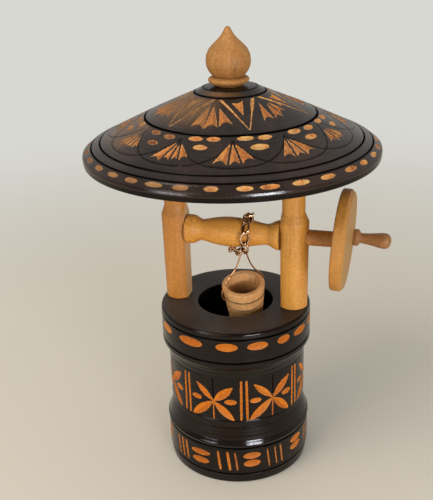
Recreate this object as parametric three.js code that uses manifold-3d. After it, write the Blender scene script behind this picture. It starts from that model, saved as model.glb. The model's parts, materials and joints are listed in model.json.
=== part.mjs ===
// A small wishing well ornament in turned and carved wood: a round well body, two posts, a wide
// conical roof with a finial, and a windlass whose chain holds a little bucket over the well.
// Millimetres, +Z up. The origin is the centre of the well body's flat bottom.
// The windlass runs along X, with its crank at +X, and the front of the well is at -Y.
import * as THREE from 'three';
import { mergeVertices } from 'three/addons/utils/BufferGeometryUtils.js';
import Module from 'manifold-3d';

const wasm = await Module();
wasm.setup();

// Clearances
const seatGap = 0.3; // glued and resting joints
const runningGap = 0.35; // turning shafts in their holes, on the radius
const wireGap = 0.35; // between the wires of links and bail
const cutOverrun = 2; // how far a cutting tool runs past the face it cuts

// Well body
const bodyHeight = 93;
const bodyRadius = 40.7; // upper band, the widest
const bodyEdgeRound = 1.8;
const footRadius = 38.8;
const footHeight = 6;
const footEdgeRound = 0.8;
const lowerBandRadius = 39.7;
const lowerBandTop = 22.6;
// [radius, height] up the sloping shoulder over the lower band
const shoulderLine = [[40.1, 24.8], [40, 26.2], [39.3, 28.2], [38.2, 30.8], [37.2, 33.1], [36.6, 34.9]];
const waistRadius = 37.5;
const waistFootRadius = 36.6;
const waistFootTop = 39;
const coveBottom = 66.6; // where the waist turns out to the upper band
const coveTop = 73.2;
const bandGrooveHeight = 76;
const edgeGrooveHeight = 89.6;
const bodyGrooveDepth = 0.6;
const bodyGrooveHalfWidth = 0.7;
const wellRadius = 20.3;
const wellDepth = 76;
const wellEdgeRound = 0.8;

// Posts
const postSpacing = 63.6; // between the two axes
const postFootRadius = 7.2;
const postTopRadius = 7.8; // just under the shoulder
const postEdgeRound = 1.5;
const postShoulderBottom = 48; // above the body's top
const postShoulderTop = 54;
const postNeckRadius = 6;
const postFlatOffset = 5.8; // inner flat, from the post's axis
const tenonRadius = 4.5;
const tenonLength = 12;

// Roof
const roofHeight = 82.8; // its lower edge above the body's top
const roofRadius = 75.3; // at the arris between the rim's upright face and its slope
const roofEdgeRadius = 74.9; // the lower edge
const roofEdgeRound = 0.6;
const roofRimInner = 66; // where the hollow underside starts
const roofHollow = 3;
const roofArrisHeight = 4.2; // over the lower edge, like the heights below
const roofArrisRound = 0.7;
const roofRimTop = 7.6; // the groove that ends the rim
const rimGrooveRadius = 70.6;
const eaveGrooveRadius = 66.1;
const eaveGrooveHeight = 9.7;
const middleGrooveRadius = 42.9;
const middleGrooveHeight = 21;
const topGrooveRadius = 17.7;
const topGrooveHeight = 32.3;
const topRingRadius = 13;
const roofTopHeight = 34.7;
const roofGrooveDepth = 0.8;
const roofGrooveHalfWidth = 0.8;

// Finial
const finialHeight = 28.2;
const finialRadius = 11.2;
const finialTenonRadius = 4;
const finialTenonLength = 14;
// [height share, radius share] from its seat to its tip
const finialOutlineShares = [
  [0, 0.86], [0.045, 0.885], [0.085, 0.9], [0.13, 0.83], [0.167, 0.725], [0.22, 0.81],
  [0.29, 0.92], [0.36, 0.985], [0.42, 1], [0.5, 0.99], [0.56, 0.95], [0.63, 0.865], [0.7, 0.7],
  [0.77, 0.51], [0.83, 0.345], [0.9, 0.205], [0.965, 0.1],
];

// Windlass
const shaftHeight = 132.6; // axis, over the ground
const drumRadius = 7.9;
// [place share along the half length, radius share], from the left end to the right end
const drumOutlineShares = [
  [-1, 0.965], [-0.92, 0.985], [-0.84, 0.965], [-0.75, 0.82], [-0.665, 0.72], [-0.56, 0.78],
  [-0.38, 0.905], [-0.2, 0.985], [-0.02, 1], [0.16, 0.965], [0.4, 0.865], [0.57, 0.755],
  [0.715, 0.705], [0.81, 0.82], [0.9, 0.965], [1, 1.01],
];
const pinRadius = 3; // journal at the left end
const pinSocketDepth = 12;
const pinReach = 8; // into the left post
const shaftRadius = 4.2;
const shaftSocketDepth = 14;
const wheelRadius = 26.4;
const wheelThickness = 7;
const wheelEdgeRound = 2.4; // outer shoulder
const wheelBackRound = 0.6;
const wheelDome = 0.5; // the middle of the outer face stands proud by this
const wheelDomeShares = [0.62, 0.7]; // a point of the dome: radius share, height share
const wheelLean = 3.4; // degrees, the wheel sits a little askew on the shaft
const wheelPlace = 54.7; // its inner face, from the middle of the well
const handleLength = 19.2;
const handleRadius = 4.5;
const handleThrow = 17; // from the shaft's axis
const handleAngle = -18; // degrees below the far horizontal
const handleTenonRadius = 2.4;
const handleTenonLength = 5;
// [length share, radius share] from its seat on the wheel
const handleOutlineShares = [
  [0, 0.93], [0.06, 1], [0.115, 0.97], [0.155, 0.73], [0.175, 0.56], [0.3, 0.585],
  [0.45, 0.68], [0.6, 0.8], [0.73, 0.89], [0.83, 0.88], [0.91, 0.73], [0.97, 0.42],
];

// Bucket
const bucketHeight = 22;
const bucketRimRadius = 11.6;
const bucketFootRadius = 8.6;
const bucketHollowRadius = 8.7;
const bucketHollowFootRadius = 6.2;
const bucketFloor = 4.5;
const bucketRimRound = 1.3;
const bucketRimInnerShares = [0.33, 0.25]; // the rim's inner edge: share of the wall, share of the round
const bucketGrooveSpacing = 5.6;
const bucketGrooveDepth = 0.5;
const bucketGrooveHalfWidth = 0.45;
const bucketEarDrop = 4.8; // the bail's holes, below the rim
const bucketEarHole = 0.7; // radius
const bucketEarDepth = 1.6;
const bucketTilt = 13; // degrees, its mouth turned to the front
const bailTurn = 50; // degrees, the bail's plane from the windlass axis

// Bail and chain
const bailWireRadius = 0.4;
const bailHeight = 20.2; // of its top over the rim
const linkLength = 7.8;
const linkWidth = 5.2;
const linkWireRadius = 0.4;
const linkTwist = 33; // degrees, to one side and the other in turn
const frontLinkTwist = -30; // the two end links face the bail's wire
const backLinkTwist = 60;
const endLinkSpread = 0.7; // along the bail's top, to each side of its middle
const chainPlace = 8.3; // on the drum, from the middle of the well
const bailTopDrop = 7.4; // the bail's top, below the shaft's axis
const bailTopInset = 1.3; // and in from the chain, to the left and to the back
const chainDrift = 9.6; // how far the chain wanders to the left behind the drum
const chainDriftStartShare = 0.35; // of its way round the drum
const chainStandoff = 2.1; // of the links' middles over the drum
const chainStartAngle = 15; // degrees on the drum, from the front
const chainEndAngle = 266;

const degree = Math.PI / 180;
const sides = {
  body: 48, roof: 60, finial: 20, post: 20, drum: 22, pin: 16, wheel: 40, handle: 16, bucket: 28,
  ear: 12, bail: 6, link: 5,
};
const outlineSteps = { finial: 20, drum: 20, handle: 12, bail: 48, linkEnd: 4, chain: 12 };

// Solids for cutting and joining

function solidOf(geometry) {
  const bare = geometry.clone();
  bare.deleteAttribute('normal');
  bare.deleteAttribute('uv');
  const welded = mergeVertices(bare);
  const corners = welded.index.array;
  const kept = [];
  for (let i = 0; i < corners.length; i += 3) {
    const [a, b, c] = [corners[i], corners[i + 1], corners[i + 2]];
    if (a !== b && b !== c && c !== a) kept.push(a, b, c);
  }
  const vertProperties = new Float32Array(welded.attributes.position.array);
  return new wasm.Manifold(new wasm.Mesh({ numProp: 3, vertProperties, triVerts: new Uint32Array(kept) }));
}

function geometryOf(solid) {
  const mesh = solid.getMesh();
  const geometry = new THREE.BufferGeometry();
  geometry.setAttribute('position', new THREE.BufferAttribute(mesh.vertProperties, 3));
  geometry.setIndex(new THREE.BufferAttribute(mesh.triVerts, 1));
  return geometry;
}

function cut(geometry, ...tools) {
  let solid = solidOf(geometry);
  for (const tool of tools) solid = solid.subtract(solidOf(tool));
  return geometryOf(solid);
}

// Outlines are lists of [radius, height], from the bottom up, that start and end on the axis

function turned(outline, sideCount) {
  const points = outline.map(([radius, height]) => new THREE.Vector2(radius, height));
  return new THREE.LatheGeometry(points, sideCount).rotateX(Math.PI / 2);
}

function rod(radius, bottom, top, sideCount) {
  return turned([[0, bottom], [radius, bottom], [radius, top], [0, top]], sideCount);
}

function alongX(geometry) {
  return geometry.rotateY(Math.PI / 2);
}

// Elliptical arc, angles in degrees from the outward horizontal
function arc(radius, height, reach, rise, from, to, steps) {
  const points = [];
  for (let i = 0; i <= steps; i += 1) {
    const angle = (from + ((to - from) * i) / steps) * degree;
    points.push([radius + reach * Math.cos(angle), height + rise * Math.sin(angle)]);
  }
  return points;
}

function groove(radius, height, depth, halfWidth) {
  return [[radius, height - halfWidth], [radius - depth, height], [radius, height + halfWidth]];
}

function smoothOutline(shares, length, radius, stepCount) {
  const curve = new THREE.SplineCurve(shares.map(([along, across]) => new THREE.Vector2(across, along)));
  return curve.getSpacedPoints(stepCount).map((point) => [point.x * radius, point.y * length]);
}

function material(color, roughness, metalness = 0) {
  return new THREE.MeshStandardMaterial({ color, roughness, metalness });
}

function piece(name, geometry, finish) {
  const mesh = new THREE.Mesh(geometry, finish);
  mesh.name = name;
  return mesh;
}

const darkStain = material('#1d1613', 0.3);
const paleWood = material('#b87b3a', 0.55);
const redWood = material('#74431f', 0.55);
const bucketWood = material('#a9743f', 0.6);
const finialWood = material('#7d4a24', 0.4);
const copper = material('#a97f66', 0.3, 1);

// Places that several pieces share
const postPlace = postSpacing / 2;
const postFlatPlace = postPlace - postFlatOffset;
const roofBottom = bodyHeight + roofHeight;
const roofCeiling = roofBottom + roofHollow;
const drumHalfLength = postFlatPlace - seatGap;

// The roof's hollow underside, at a distance from its middle
function ceilingHeight(radius) {
  return roofBottom + roofHollow * Math.sqrt(1 - (radius / roofRimInner) ** 2);
}

const neckTop = ceilingHeight(postPlace + postNeckRadius) - seatGap;

// Well body: bands, waist and shoulder turned in one piece, bored from the top

function wellBodyGeometry() {
  const outline = [
    [0, 0],
    [footRadius - footEdgeRound, 0],
    [footRadius, footEdgeRound],
    ...groove(lowerBandRadius, footHeight, bodyGrooveDepth, bodyGrooveHalfWidth),
    ...groove(lowerBandRadius, lowerBandTop, bodyGrooveDepth, bodyGrooveHalfWidth),
    ...shoulderLine,
    [waistFootRadius, waistFootTop - bodyGrooveHalfWidth],
    [waistRadius, waistFootTop],
    [waistRadius, coveBottom],
    ...arc(waistRadius, coveTop, bodyRadius - waistRadius, coveTop - coveBottom, -72, 0, 4),
    ...groove(bodyRadius, bandGrooveHeight, bodyGrooveDepth, bodyGrooveHalfWidth),
    ...groove(bodyRadius, edgeGrooveHeight, bodyGrooveDepth, bodyGrooveHalfWidth),
    ...arc(bodyRadius - bodyEdgeRound, bodyHeight - bodyEdgeRound, bodyEdgeRound, bodyEdgeRound, 0, 90, 4),
    [wellRadius + wellEdgeRound, bodyHeight],
    [wellRadius, bodyHeight - wellEdgeRound],
    [wellRadius, bodyHeight - wellDepth],
    [0, bodyHeight - wellDepth],
  ];
  const sockets = [-postPlace, postPlace].map((place) => {
    const socketBottom = bodyHeight - tenonLength - seatGap;
    const socket = rod(tenonRadius + seatGap, socketBottom, bodyHeight + cutOverrun, sides.pin);
    return socket.translate(place, 0, 0);
  });
  return cut(turned(outline, sides.body), ...sockets);
}

// Posts: turned dowels with a neck, flat towards the drum, tenoned into the body and the roof

function postGeometry(side) {
  const bottom = bodyHeight + seatGap;
  const outline = [
    [0, bodyHeight - tenonLength],
    [tenonRadius, bodyHeight - tenonLength],
    [tenonRadius, bottom],
    ...arc(postFootRadius - postEdgeRound, bottom + postEdgeRound, postEdgeRound, postEdgeRound, -90, 0, 4),
    [postTopRadius, bodyHeight + postShoulderBottom - postEdgeRound],
    ...arc(postNeckRadius, bodyHeight + postShoulderBottom, postTopRadius - postNeckRadius,
      postShoulderTop - postShoulderBottom, 10, 90, 5),
    [postNeckRadius, neckTop],
    [tenonRadius, neckTop],
    [tenonRadius, neckTop + tenonLength],
    [0, neckTop + tenonLength],
  ];
  const flatHeight = postShoulderTop + cutOverrun;
  const flat = new THREE.BoxGeometry(postTopRadius, 2 * (postTopRadius + cutOverrun), flatHeight);
  flat.translate(-side * (postFlatOffset + postTopRadius / 2), 0, bodyHeight + flatHeight / 2);
  const [boreRadius, boreStart] = side > 0
    ? [shaftRadius + runningGap, -postTopRadius - cutOverrun]
    : [pinRadius + runningGap, postFlatOffset - pinReach - seatGap];
  const bore = alongX(rod(boreRadius, boreStart, postTopRadius + cutOverrun, sides.pin));
  bore.translate(0, 0, shaftHeight);
  return cut(turned(outline, sides.post), flat, bore);
}

// Roof: a wide turned cone with ring grooves, slightly hollow underneath

function roofGeometry() {
  const ringGroove = (radius, height) => [
    [radius + roofGrooveHalfWidth, roofBottom + height - roofGrooveHalfWidth / 2],
    [radius, roofBottom + height - roofGrooveDepth],
    [radius - roofGrooveHalfWidth, roofBottom + height + roofGrooveHalfWidth / 2],
  ];
  const arris = roofBottom + roofArrisHeight;
  const outline = [
    [0, roofCeiling],
    ...arc(0, roofBottom, roofRimInner, roofHollow, 90, 0, 7).slice(1),
    [roofEdgeRadius - roofEdgeRound, roofBottom],
    [roofEdgeRadius, roofBottom + roofEdgeRound],
    ...arc(roofRadius - roofArrisRound, arris - roofArrisRound, roofArrisRound, roofArrisRound, 0, 60, 3),
    ...ringGroove(rimGrooveRadius, roofRimTop),
    ...ringGroove(eaveGrooveRadius, eaveGrooveHeight),
    ...ringGroove(middleGrooveRadius, middleGrooveHeight),
    ...ringGroove(topGrooveRadius, topGrooveHeight),
    [topRingRadius, roofBottom + roofTopHeight - roofGrooveHalfWidth / 2],
    [topRingRadius - roofGrooveHalfWidth, roofBottom + roofTopHeight],
    [0, roofBottom + roofTopHeight],
  ];
  const sockets = [-postPlace, postPlace].map((place) => {
    const socketTop = neckTop + tenonLength + seatGap;
    const socket = rod(tenonRadius + seatGap, roofBottom - cutOverrun, socketTop, sides.pin);
    return socket.translate(place, 0, 0);
  });
  const roofTop = roofBottom + roofTopHeight;
  const finialSocketBottom = roofTop - finialTenonLength - seatGap;
  const finialSocketRadius = finialTenonRadius + seatGap;
  const finialSocket = rod(finialSocketRadius, finialSocketBottom, roofTop + cutOverrun, sides.pin);
  return cut(turned(outline, sides.roof), ...sockets, finialSocket);
}

function finialGeometry() {
  const outline = [
    [0, -finialTenonLength],
    [finialTenonRadius, -finialTenonLength],
    [finialTenonRadius, 0],
    ...smoothOutline(finialOutlineShares, finialHeight, finialRadius, outlineSteps.finial),
    [0, finialHeight],
  ];
  return turned(outline, sides.finial);
}

// Windlass: drum, left journal pin, crank shaft, wheel and handle

function drumRadiusAt(place) {
  const curve = drumOutlineShares.map(([along, across]) => [along * drumHalfLength, across * drumRadius]);
  const next = Math.max(1, curve.findIndex(([along]) => along >= place));
  const [[x0, r0], [x1, r1]] = [curve[next - 1], curve[next]];
  return r0 + ((r1 - r0) * (place - x0)) / (x1 - x0);
}

function drumGeometry() {
  const outline = [
    [0, -drumHalfLength],
    ...smoothOutline(drumOutlineShares, drumHalfLength, drumRadius, outlineSteps.drum),
    [0, drumHalfLength],
  ];
  const pinSocketEnd = pinSocketDepth + seatGap - drumHalfLength;
  const pinSocket = rod(pinRadius + seatGap, -drumHalfLength - cutOverrun, pinSocketEnd, sides.pin);
  const shaftSocketEnd = drumHalfLength - shaftSocketDepth - seatGap;
  const shaftSocket = rod(shaftRadius + seatGap, shaftSocketEnd, drumHalfLength + cutOverrun, sides.pin);
  return alongX(cut(turned(outline, sides.drum), pinSocket, shaftSocket));
}

function pinGeometry() {
  return alongX(rod(pinRadius, -postFlatPlace - pinReach, pinSocketDepth - drumHalfLength, sides.pin));
}

const shaftEnd = wheelPlace + wheelThickness - wheelEdgeRound;
const wheelFace = wheelPlace + wheelThickness;

function shaftGeometry() {
  return alongX(rod(shaftRadius, drumHalfLength - shaftSocketDepth, shaftEnd, sides.pin));
}

// Turns the wheel and the handle by the wheel's lean, about a point on the shaft's axis
function leaned(geometry) {
  const middle = wheelPlace + wheelThickness / 2;
  return geometry.translate(-middle, 0, 0).rotateY(wheelLean * degree).translate(middle, 0, 0);
}

function handlePlace() {
  const angle = handleAngle * degree;
  return [handleThrow * Math.cos(angle), handleThrow * Math.sin(angle)];
}

function wheelGeometry() {
  const [domeRadiusShare, domeHeightShare] = wheelDomeShares;
  const edge = wheelThickness - wheelDome - wheelEdgeRound;
  const outline = [
    [0, 0],
    [wheelRadius - wheelBackRound, 0],
    [wheelRadius, wheelBackRound],
    ...arc(wheelRadius - wheelEdgeRound, edge, wheelEdgeRound, wheelEdgeRound, 0, 75, 4),
    [wheelRadius * domeRadiusShare, wheelThickness - wheelDome * (1 - domeHeightShare)],
    [handleRadius, wheelThickness],
    [0, wheelThickness],
  ];
  const wheel = leaned(alongX(turned(outline, sides.wheel)).translate(wheelPlace, 0, 0));
  const socket = alongX(rod(shaftRadius + seatGap, wheelPlace - cutOverrun, shaftEnd + seatGap, sides.pin));
  const [across, up] = handlePlace();
  const handleSocketBottom = wheelFace - handleTenonLength - seatGap;
  const handleSocketTop = wheelFace + cutOverrun;
  const handleSocket = rod(handleTenonRadius + seatGap, handleSocketBottom, handleSocketTop, sides.handle);
  return cut(wheel, socket, leaned(alongX(handleSocket).translate(0, across, up)));
}

function handleGeometry() {
  const outline = [
    [0, -handleTenonLength],
    [handleTenonRadius, -handleTenonLength],
    [handleTenonRadius, 0],
    ...smoothOutline(handleOutlineShares, handleLength, handleRadius, outlineSteps.handle),
    [0, handleLength],
  ];
  const [across, up] = handlePlace();
  return leaned(alongX(turned(outline, sides.handle)).translate(wheelFace + seatGap, across, up));
}

// Bucket and bail share a frame: the middle of the rim, tilted to the front, with the bail's plane
// along its own X. Its place follows from the bail's top, which hangs in the chain's end links.

function bucketGeometry() {
  const radiusAt = (drop) => bucketRimRadius + ((bucketFootRadius - bucketRimRadius) * drop) / bucketHeight;
  const grooves = [3, 2, 1].flatMap((count) => {
    const drop = count * bucketGrooveSpacing;
    return groove(radiusAt(drop), -drop, bucketGrooveDepth, bucketGrooveHalfWidth);
  });
  const [rimInnerShare, rimDropShare] = bucketRimInnerShares;
  const wallTop = bucketRimRadius - bucketHollowRadius;
  const footRoundPlace = bucketFootRadius - bucketRimRound;
  const outline = [
    [0, -bucketHeight],
    ...arc(footRoundPlace, bucketRimRound - bucketHeight, bucketRimRound, bucketRimRound, -90, 0, 3),
    ...grooves,
    ...arc(bucketRimRadius - bucketRimRound, -bucketRimRound, bucketRimRound, bucketRimRound, 0, 90, 4),
    [bucketHollowRadius + wallTop * rimInnerShare, -bucketRimRound * rimDropShare],
    [bucketHollowRadius, -bucketRimRound],
    [bucketHollowFootRadius, bucketFloor - bucketHeight],
    [0, bucketFloor - bucketHeight],
  ];
  const earBottom = radiusAt(bucketEarDrop) - bucketEarDepth - seatGap;
  const ears = [0, Math.PI].map((turn) => {
    const hole = rod(bucketEarHole, earBottom, bucketRimRadius + cutOverrun, sides.ear);
    return alongX(hole).rotateZ(turn).translate(0, 0, -bucketEarDrop);
  });
  return cut(turned(outline, sides.bucket), ...ears);
}

// [share of the rim radius, share of the bail's height], from the front ear over the top to the back ear
const bailTopShares = [-0.155, 0.99];
const bailShares = [
  [0.87, -0.24], [1.06, -0.235], [1.18, -0.17], [1.2, 0.02], [1.09, 0.17], [0.9, 0.3], [0.62, 0.44],
  [0.36, 0.57], [0.19, 0.72], [0.045, 0.88], [-0.06, 0.965], bailTopShares, [-0.25, 0.965], [-0.33, 0.86],
  [-0.41, 0.68], [-0.51, 0.5], [-0.66, 0.32], [-0.9, 0.12], [-1.09, -0.03], [-1.17, -0.14],
  [-1.08, -0.235], [-0.87, -0.24],
];

function wire(curve, radius, stepCount, sideCount) {
  const section = new THREE.Shape();
  for (let i = 0; i < sideCount; i += 1) {
    const angle = (2 * Math.PI * i) / sideCount;
    const corner = [radius * Math.cos(angle), radius * Math.sin(angle)];
    if (i === 0) section.moveTo(...corner);
    else section.lineTo(...corner);
  }
  return new THREE.ExtrudeGeometry(section, { steps: stepCount, extrudePath: curve });
}

function bailPoint([across, up]) {
  return new THREE.Vector3(across * bucketRimRadius, 0, up * bailHeight);
}

function bailGeometry() {
  const points = bailShares.map(bailPoint);
  return wire(new THREE.CatmullRomCurve3(points), bailWireRadius, outlineSteps.bail, sides.bail);
}

// Chain: straight-sided oval links along a path that starts and ends at the bail's top

const linkHalfInner = linkLength / 2 - 2 * linkWireRadius;

function linkGeometry() {
  const endRadius = linkWidth / 2 - linkWireRadius;
  const halfStraight = linkLength / 2 - linkWidth / 2;
  const ring = [];
  const arcSteps = outlineSteps.linkEnd;
  const aroundCount = 2 * (arcSteps + 1);
  const wireSides = sides.link;
  for (const end of [1, -1]) {
    for (let i = 0; i <= arcSteps; i += 1) {
      const angle = (end > 0 ? -90 : 90) * degree + (Math.PI * i) / arcSteps;
      ring.push([end * halfStraight + endRadius * Math.cos(angle), endRadius * Math.sin(angle), angle]);
    }
  }
  const positions = [];
  for (const [x, y, angle] of ring) {
    for (let k = 0; k < wireSides; k += 1) {
      const around = (2 * Math.PI * k) / wireSides;
      const out = linkWireRadius * Math.cos(around);
      const side = linkWireRadius * Math.sin(around);
      positions.push(x + out * Math.cos(angle), y + out * Math.sin(angle), side);
    }
  }
  const index = [];
  for (let i = 0; i < aroundCount; i += 1) {
    for (let k = 0; k < wireSides; k += 1) {
      const [a, b] = [i * wireSides + k, i * wireSides + ((k + 1) % wireSides)];
      const next = (i + 1) % aroundCount;
      const [c, d] = [next * wireSides + k, next * wireSides + ((k + 1) % wireSides)];
      index.push(a, c, b, b, c, d);
    }
  }
  const geometry = new THREE.BufferGeometry();
  geometry.setAttribute('position', new THREE.Float32BufferAttribute(positions, 3));
  geometry.setIndex(index);
  return geometry;
}

// A point over the drum: angle from the front horizontal, over the top to the back
function overDrum(angle, place) {
  const reach = drumRadiusAt(place) + chainStandoff;
  const [out, up] = [Math.cos(angle * degree), Math.sin(angle * degree)];
  return new THREE.Vector3(place, -reach * out, shaftHeight + reach * up);
}

// The bail's top hangs under the front of the drum
const bailAlong = new THREE.Vector3(-Math.cos(bailTurn * degree), -Math.sin(bailTurn * degree), 0);
const bailTopPoint = overDrum(0, chainPlace - bailTopInset);
bailTopPoint.add(new THREE.Vector3(0, bailTopInset, -bailTopDrop));

function chainPath() {
  const points = [];
  const lastAngle = chainEndAngle - chainStartAngle;
  const stepCount = outlineSteps.chain;
  points.push(bailTopPoint.clone().addScaledVector(bailAlong, -endLinkSpread));
  for (let i = 0; i <= stepCount; i += 1) {
    const share = i / stepCount;
    const behind = Math.max(0, (share - chainDriftStartShare) / (1 - chainDriftStartShare));
    const drift = behind * behind * (3 - 2 * behind);
    points.push(overDrum(chainStartAngle + lastAngle * share, chainPlace - chainDrift * drift));
  }
  points.push(bailTopPoint.clone().addScaledVector(bailAlong, endLinkSpread));
  return new THREE.CatmullRomCurve3(points);
}

function chainLinks() {
  const path = chainPath();
  const length = path.getLength();
  const endReach = linkHalfInner - bailWireRadius - wireGap;
  const widestPitch = 2 * linkHalfInner - wireGap;
  const linkCount = Math.ceil((length - 2 * endReach) / widestPitch) + 1;
  const pitch = (length - 2 * endReach) / (linkCount - 1);
  const links = [];
  for (let i = 0; i < linkCount; i += 1) {
    const middle = endReach + pitch * i;
    const reach = linkLength / 2;
    const before = path.getPointAt(Math.max(0, middle - reach) / length);
    const after = path.getPointAt(Math.min(length, middle + reach) / length);
    const centre = path.getPointAt(middle / length);
    const along = after.clone().sub(before).normalize();
    const outward = new THREE.Vector3(0, centre.y, centre.z - shaftHeight).normalize();
    const across = outward.clone().cross(along).normalize();
    outward.crossVectors(along, across);
    const link = piece(`chain_link_${String(i + 1).padStart(2, '0')}`, linkGeometry(), copper);
    let turn = i % 2 ? linkTwist : -linkTwist;
    if (i === 0) turn = frontLinkTwist;
    if (i === linkCount - 1) turn = backLinkTwist;
    const twist = new THREE.Matrix4().makeRotationX(turn * degree);
    const place = new THREE.Matrix4().makeBasis(along, across, outward).multiply(twist);
    link.applyMatrix4(place.setPosition(centre));
    links.push(link);
  }
  return links;
}

// Assembly

const well = new THREE.Group();
well.add(piece('well_body', wellBodyGeometry(), darkStain));

for (const [name, side] of [['left_post', -1], ['right_post', 1]]) {
  const post = piece(name, postGeometry(side), paleWood);
  post.position.x = side * postPlace;
  well.add(post);
}

well.add(piece('roof', roofGeometry(), darkStain));
const finial = piece('finial', finialGeometry(), finialWood);
finial.position.z = roofBottom + roofTopHeight + seatGap;
well.add(finial);

const windlass = new THREE.Group();
windlass.position.z = shaftHeight;
windlass.add(piece('drum', drumGeometry(), paleWood));
windlass.add(piece('left_pivot_pin', pinGeometry(), redWood));
windlass.add(piece('crank_shaft', shaftGeometry(), redWood));
windlass.add(piece('crank_wheel', wheelGeometry(), paleWood));
windlass.add(piece('crank_handle', handleGeometry(), redWood));
well.add(windlass);

const hanging = new THREE.Group();
hanging.add(piece('bucket', bucketGeometry(), bucketWood));
hanging.add(piece('bucket_bail', bailGeometry(), copper));
const bailPlane = new THREE.Matrix4().makeRotationZ((bailTurn + 180) * degree);
const tilt = new THREE.Matrix4().makeRotationX(bucketTilt * degree).multiply(bailPlane);
const topOffset = bailPoint(bailTopShares).applyMatrix4(tilt);
hanging.setRotationFromMatrix(tilt);
hanging.position.copy(bailTopPoint).sub(topOffset);
well.add(hanging);

for (const link of chainLinks()) well.add(link);

well.updateMatrixWorld(true);

export default well;
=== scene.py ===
import json
import math
import bpy
import numpy as np
from mathutils import Matrix, Vector


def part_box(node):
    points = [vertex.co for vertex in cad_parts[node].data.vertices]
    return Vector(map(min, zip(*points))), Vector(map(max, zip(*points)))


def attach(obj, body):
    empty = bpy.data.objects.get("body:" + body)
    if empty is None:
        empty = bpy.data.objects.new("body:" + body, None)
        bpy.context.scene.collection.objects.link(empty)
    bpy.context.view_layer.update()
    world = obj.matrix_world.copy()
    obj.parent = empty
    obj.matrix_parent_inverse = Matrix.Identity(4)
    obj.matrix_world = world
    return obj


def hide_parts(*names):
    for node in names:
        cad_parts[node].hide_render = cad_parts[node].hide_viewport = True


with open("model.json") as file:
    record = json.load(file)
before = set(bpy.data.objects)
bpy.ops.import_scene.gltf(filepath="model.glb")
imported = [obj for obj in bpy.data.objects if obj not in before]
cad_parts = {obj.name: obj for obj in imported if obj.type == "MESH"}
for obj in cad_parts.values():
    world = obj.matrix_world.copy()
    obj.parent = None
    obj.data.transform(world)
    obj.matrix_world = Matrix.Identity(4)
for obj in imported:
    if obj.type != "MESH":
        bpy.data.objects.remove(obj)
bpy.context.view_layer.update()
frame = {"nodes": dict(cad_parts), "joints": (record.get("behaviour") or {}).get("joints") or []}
mm = 0.001
print("Frame loaded with", len(frame["nodes"]), "nodes")

scene = bpy.context.scene
scene.view_settings.view_transform = "Standard"
rng = np.random.default_rng(17)


# Places from the frame, in millimetres

def lowOf(node):
    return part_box(node)[0] / mm


def highOf(node):
    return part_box(node)[1] / mm


def anchorOf(jointName):
    joint = next(joint for joint in frame["joints"] if joint["name"] == jointName)
    return Vector(joint["pos_m"]) / mm


bodyTop = highOf("well_body").z
roofBottom = lowOf("roof").z
roofTop = highOf("roof").z
axleHeight = anchorOf("windlass_turn").z
seatGap = 0.05  # between pieces that are glued on each other


# Outlines and surfaces of revolution

def roundCorners(corners, steps=4):  # corners are (radius, height) or (radius, height, rounding)
    points = []
    for i, corner in enumerate(corners):
        here = Vector(corner[:2])
        rounding = corner[2] if len(corner) > 2 else 0
        if rounding == 0 or i in (0, len(corners) - 1):
            points.append(here)
            continue
        back = Vector(corners[i - 1][:2]) - here
        ahead = Vector(corners[i + 1][:2]) - here
        reach = rounding / math.tan(max(back.angle(ahead) / 2, 0.2))
        start = here + back.normalized() * min(reach, back.length * 0.48)
        end = here + ahead.normalized() * min(reach, ahead.length * 0.48)
        for step in range(steps + 1):
            t = step / steps
            points.append(start.lerp(here, t).lerp(here.lerp(end, t), t))
    return np.array([point[:] for point in points])


def refine(points, spacingAt):  # adds points until no gap is wider than spacingAt(radius, height)
    fine = [points[0]]
    for start, end in zip(points[:-1], points[1:]):
        middle = (start + end) / 2
        count = max(1, math.ceil(np.hypot(*(end - start)) / spacingAt(*middle)))
        for step in range(1, count + 1):
            fine.append(start + (end - start) * step / count)
    return np.array(fine)


def outline(corners, spacingAt, steps=4):
    return refine(roundCorners(corners, steps), spacingAt)


def smoothLine(points, count):  # evenly spaced points on a Catmull-Rom curve through the given ones
    given = np.array(points, float)
    padded = np.vstack([2 * given[0] - given[1], given, 2 * given[-1] - given[-2]])
    fine = []
    for i in range(len(given) - 1):
        a, b, c, d = padded[i:i + 4]
        for t in np.linspace(0, 1, 12, endpoint=False):
            fine.append(0.5 * (2 * b + (c - a) * t + (2 * a - 5 * b + 4 * c - d) * t ** 2
                               + (3 * b - 3 * c + d - a) * t ** 3))
    fine.append(given[-1])
    fine = np.array(fine)
    along = np.concatenate([[0], np.cumsum(np.linalg.norm(np.diff(fine, axis=0), axis=1))])
    wanted = np.linspace(0, along[-1], count)
    return np.stack([np.interp(wanted, along, fine[:, axis]) for axis in range(given.shape[1])], axis=1)


def shareOutline(form, base, reach):  # from the axis through the form's shares and back to the axis
    line = smoothLine([(radius * form["radius"], base + place * reach)
                       for place, radius in form["outlineShares"]], form["rows"])
    return np.vstack([(0, line[0, 1]), line, (0, line[-1, 1])])


def outlineNormals(points):
    step = np.gradient(points, axis=0)
    normal = np.stack([step[:, 1], -step[:, 0]], axis=1)
    return normal / np.maximum(np.linalg.norm(normal, axis=1), 1e-9)[:, None]


def outlineLengths(points):
    return np.concatenate([[0], np.cumsum(np.hypot(*np.diff(points, axis=0).T))])


def turningMarks(rows, waves):  # fine ridges from the lathe: sums of (amplitude, wavelength, phase)
    length = outlineLengths(rows)[:, None]
    return sum(size * np.sin(2 * math.pi * length / wave + phase) for size, wave, phase in waves)


def turnsOf(sides):  # the angle of each column of a grid, in degrees
    return np.arange(sides) * 360 / sides


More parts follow.
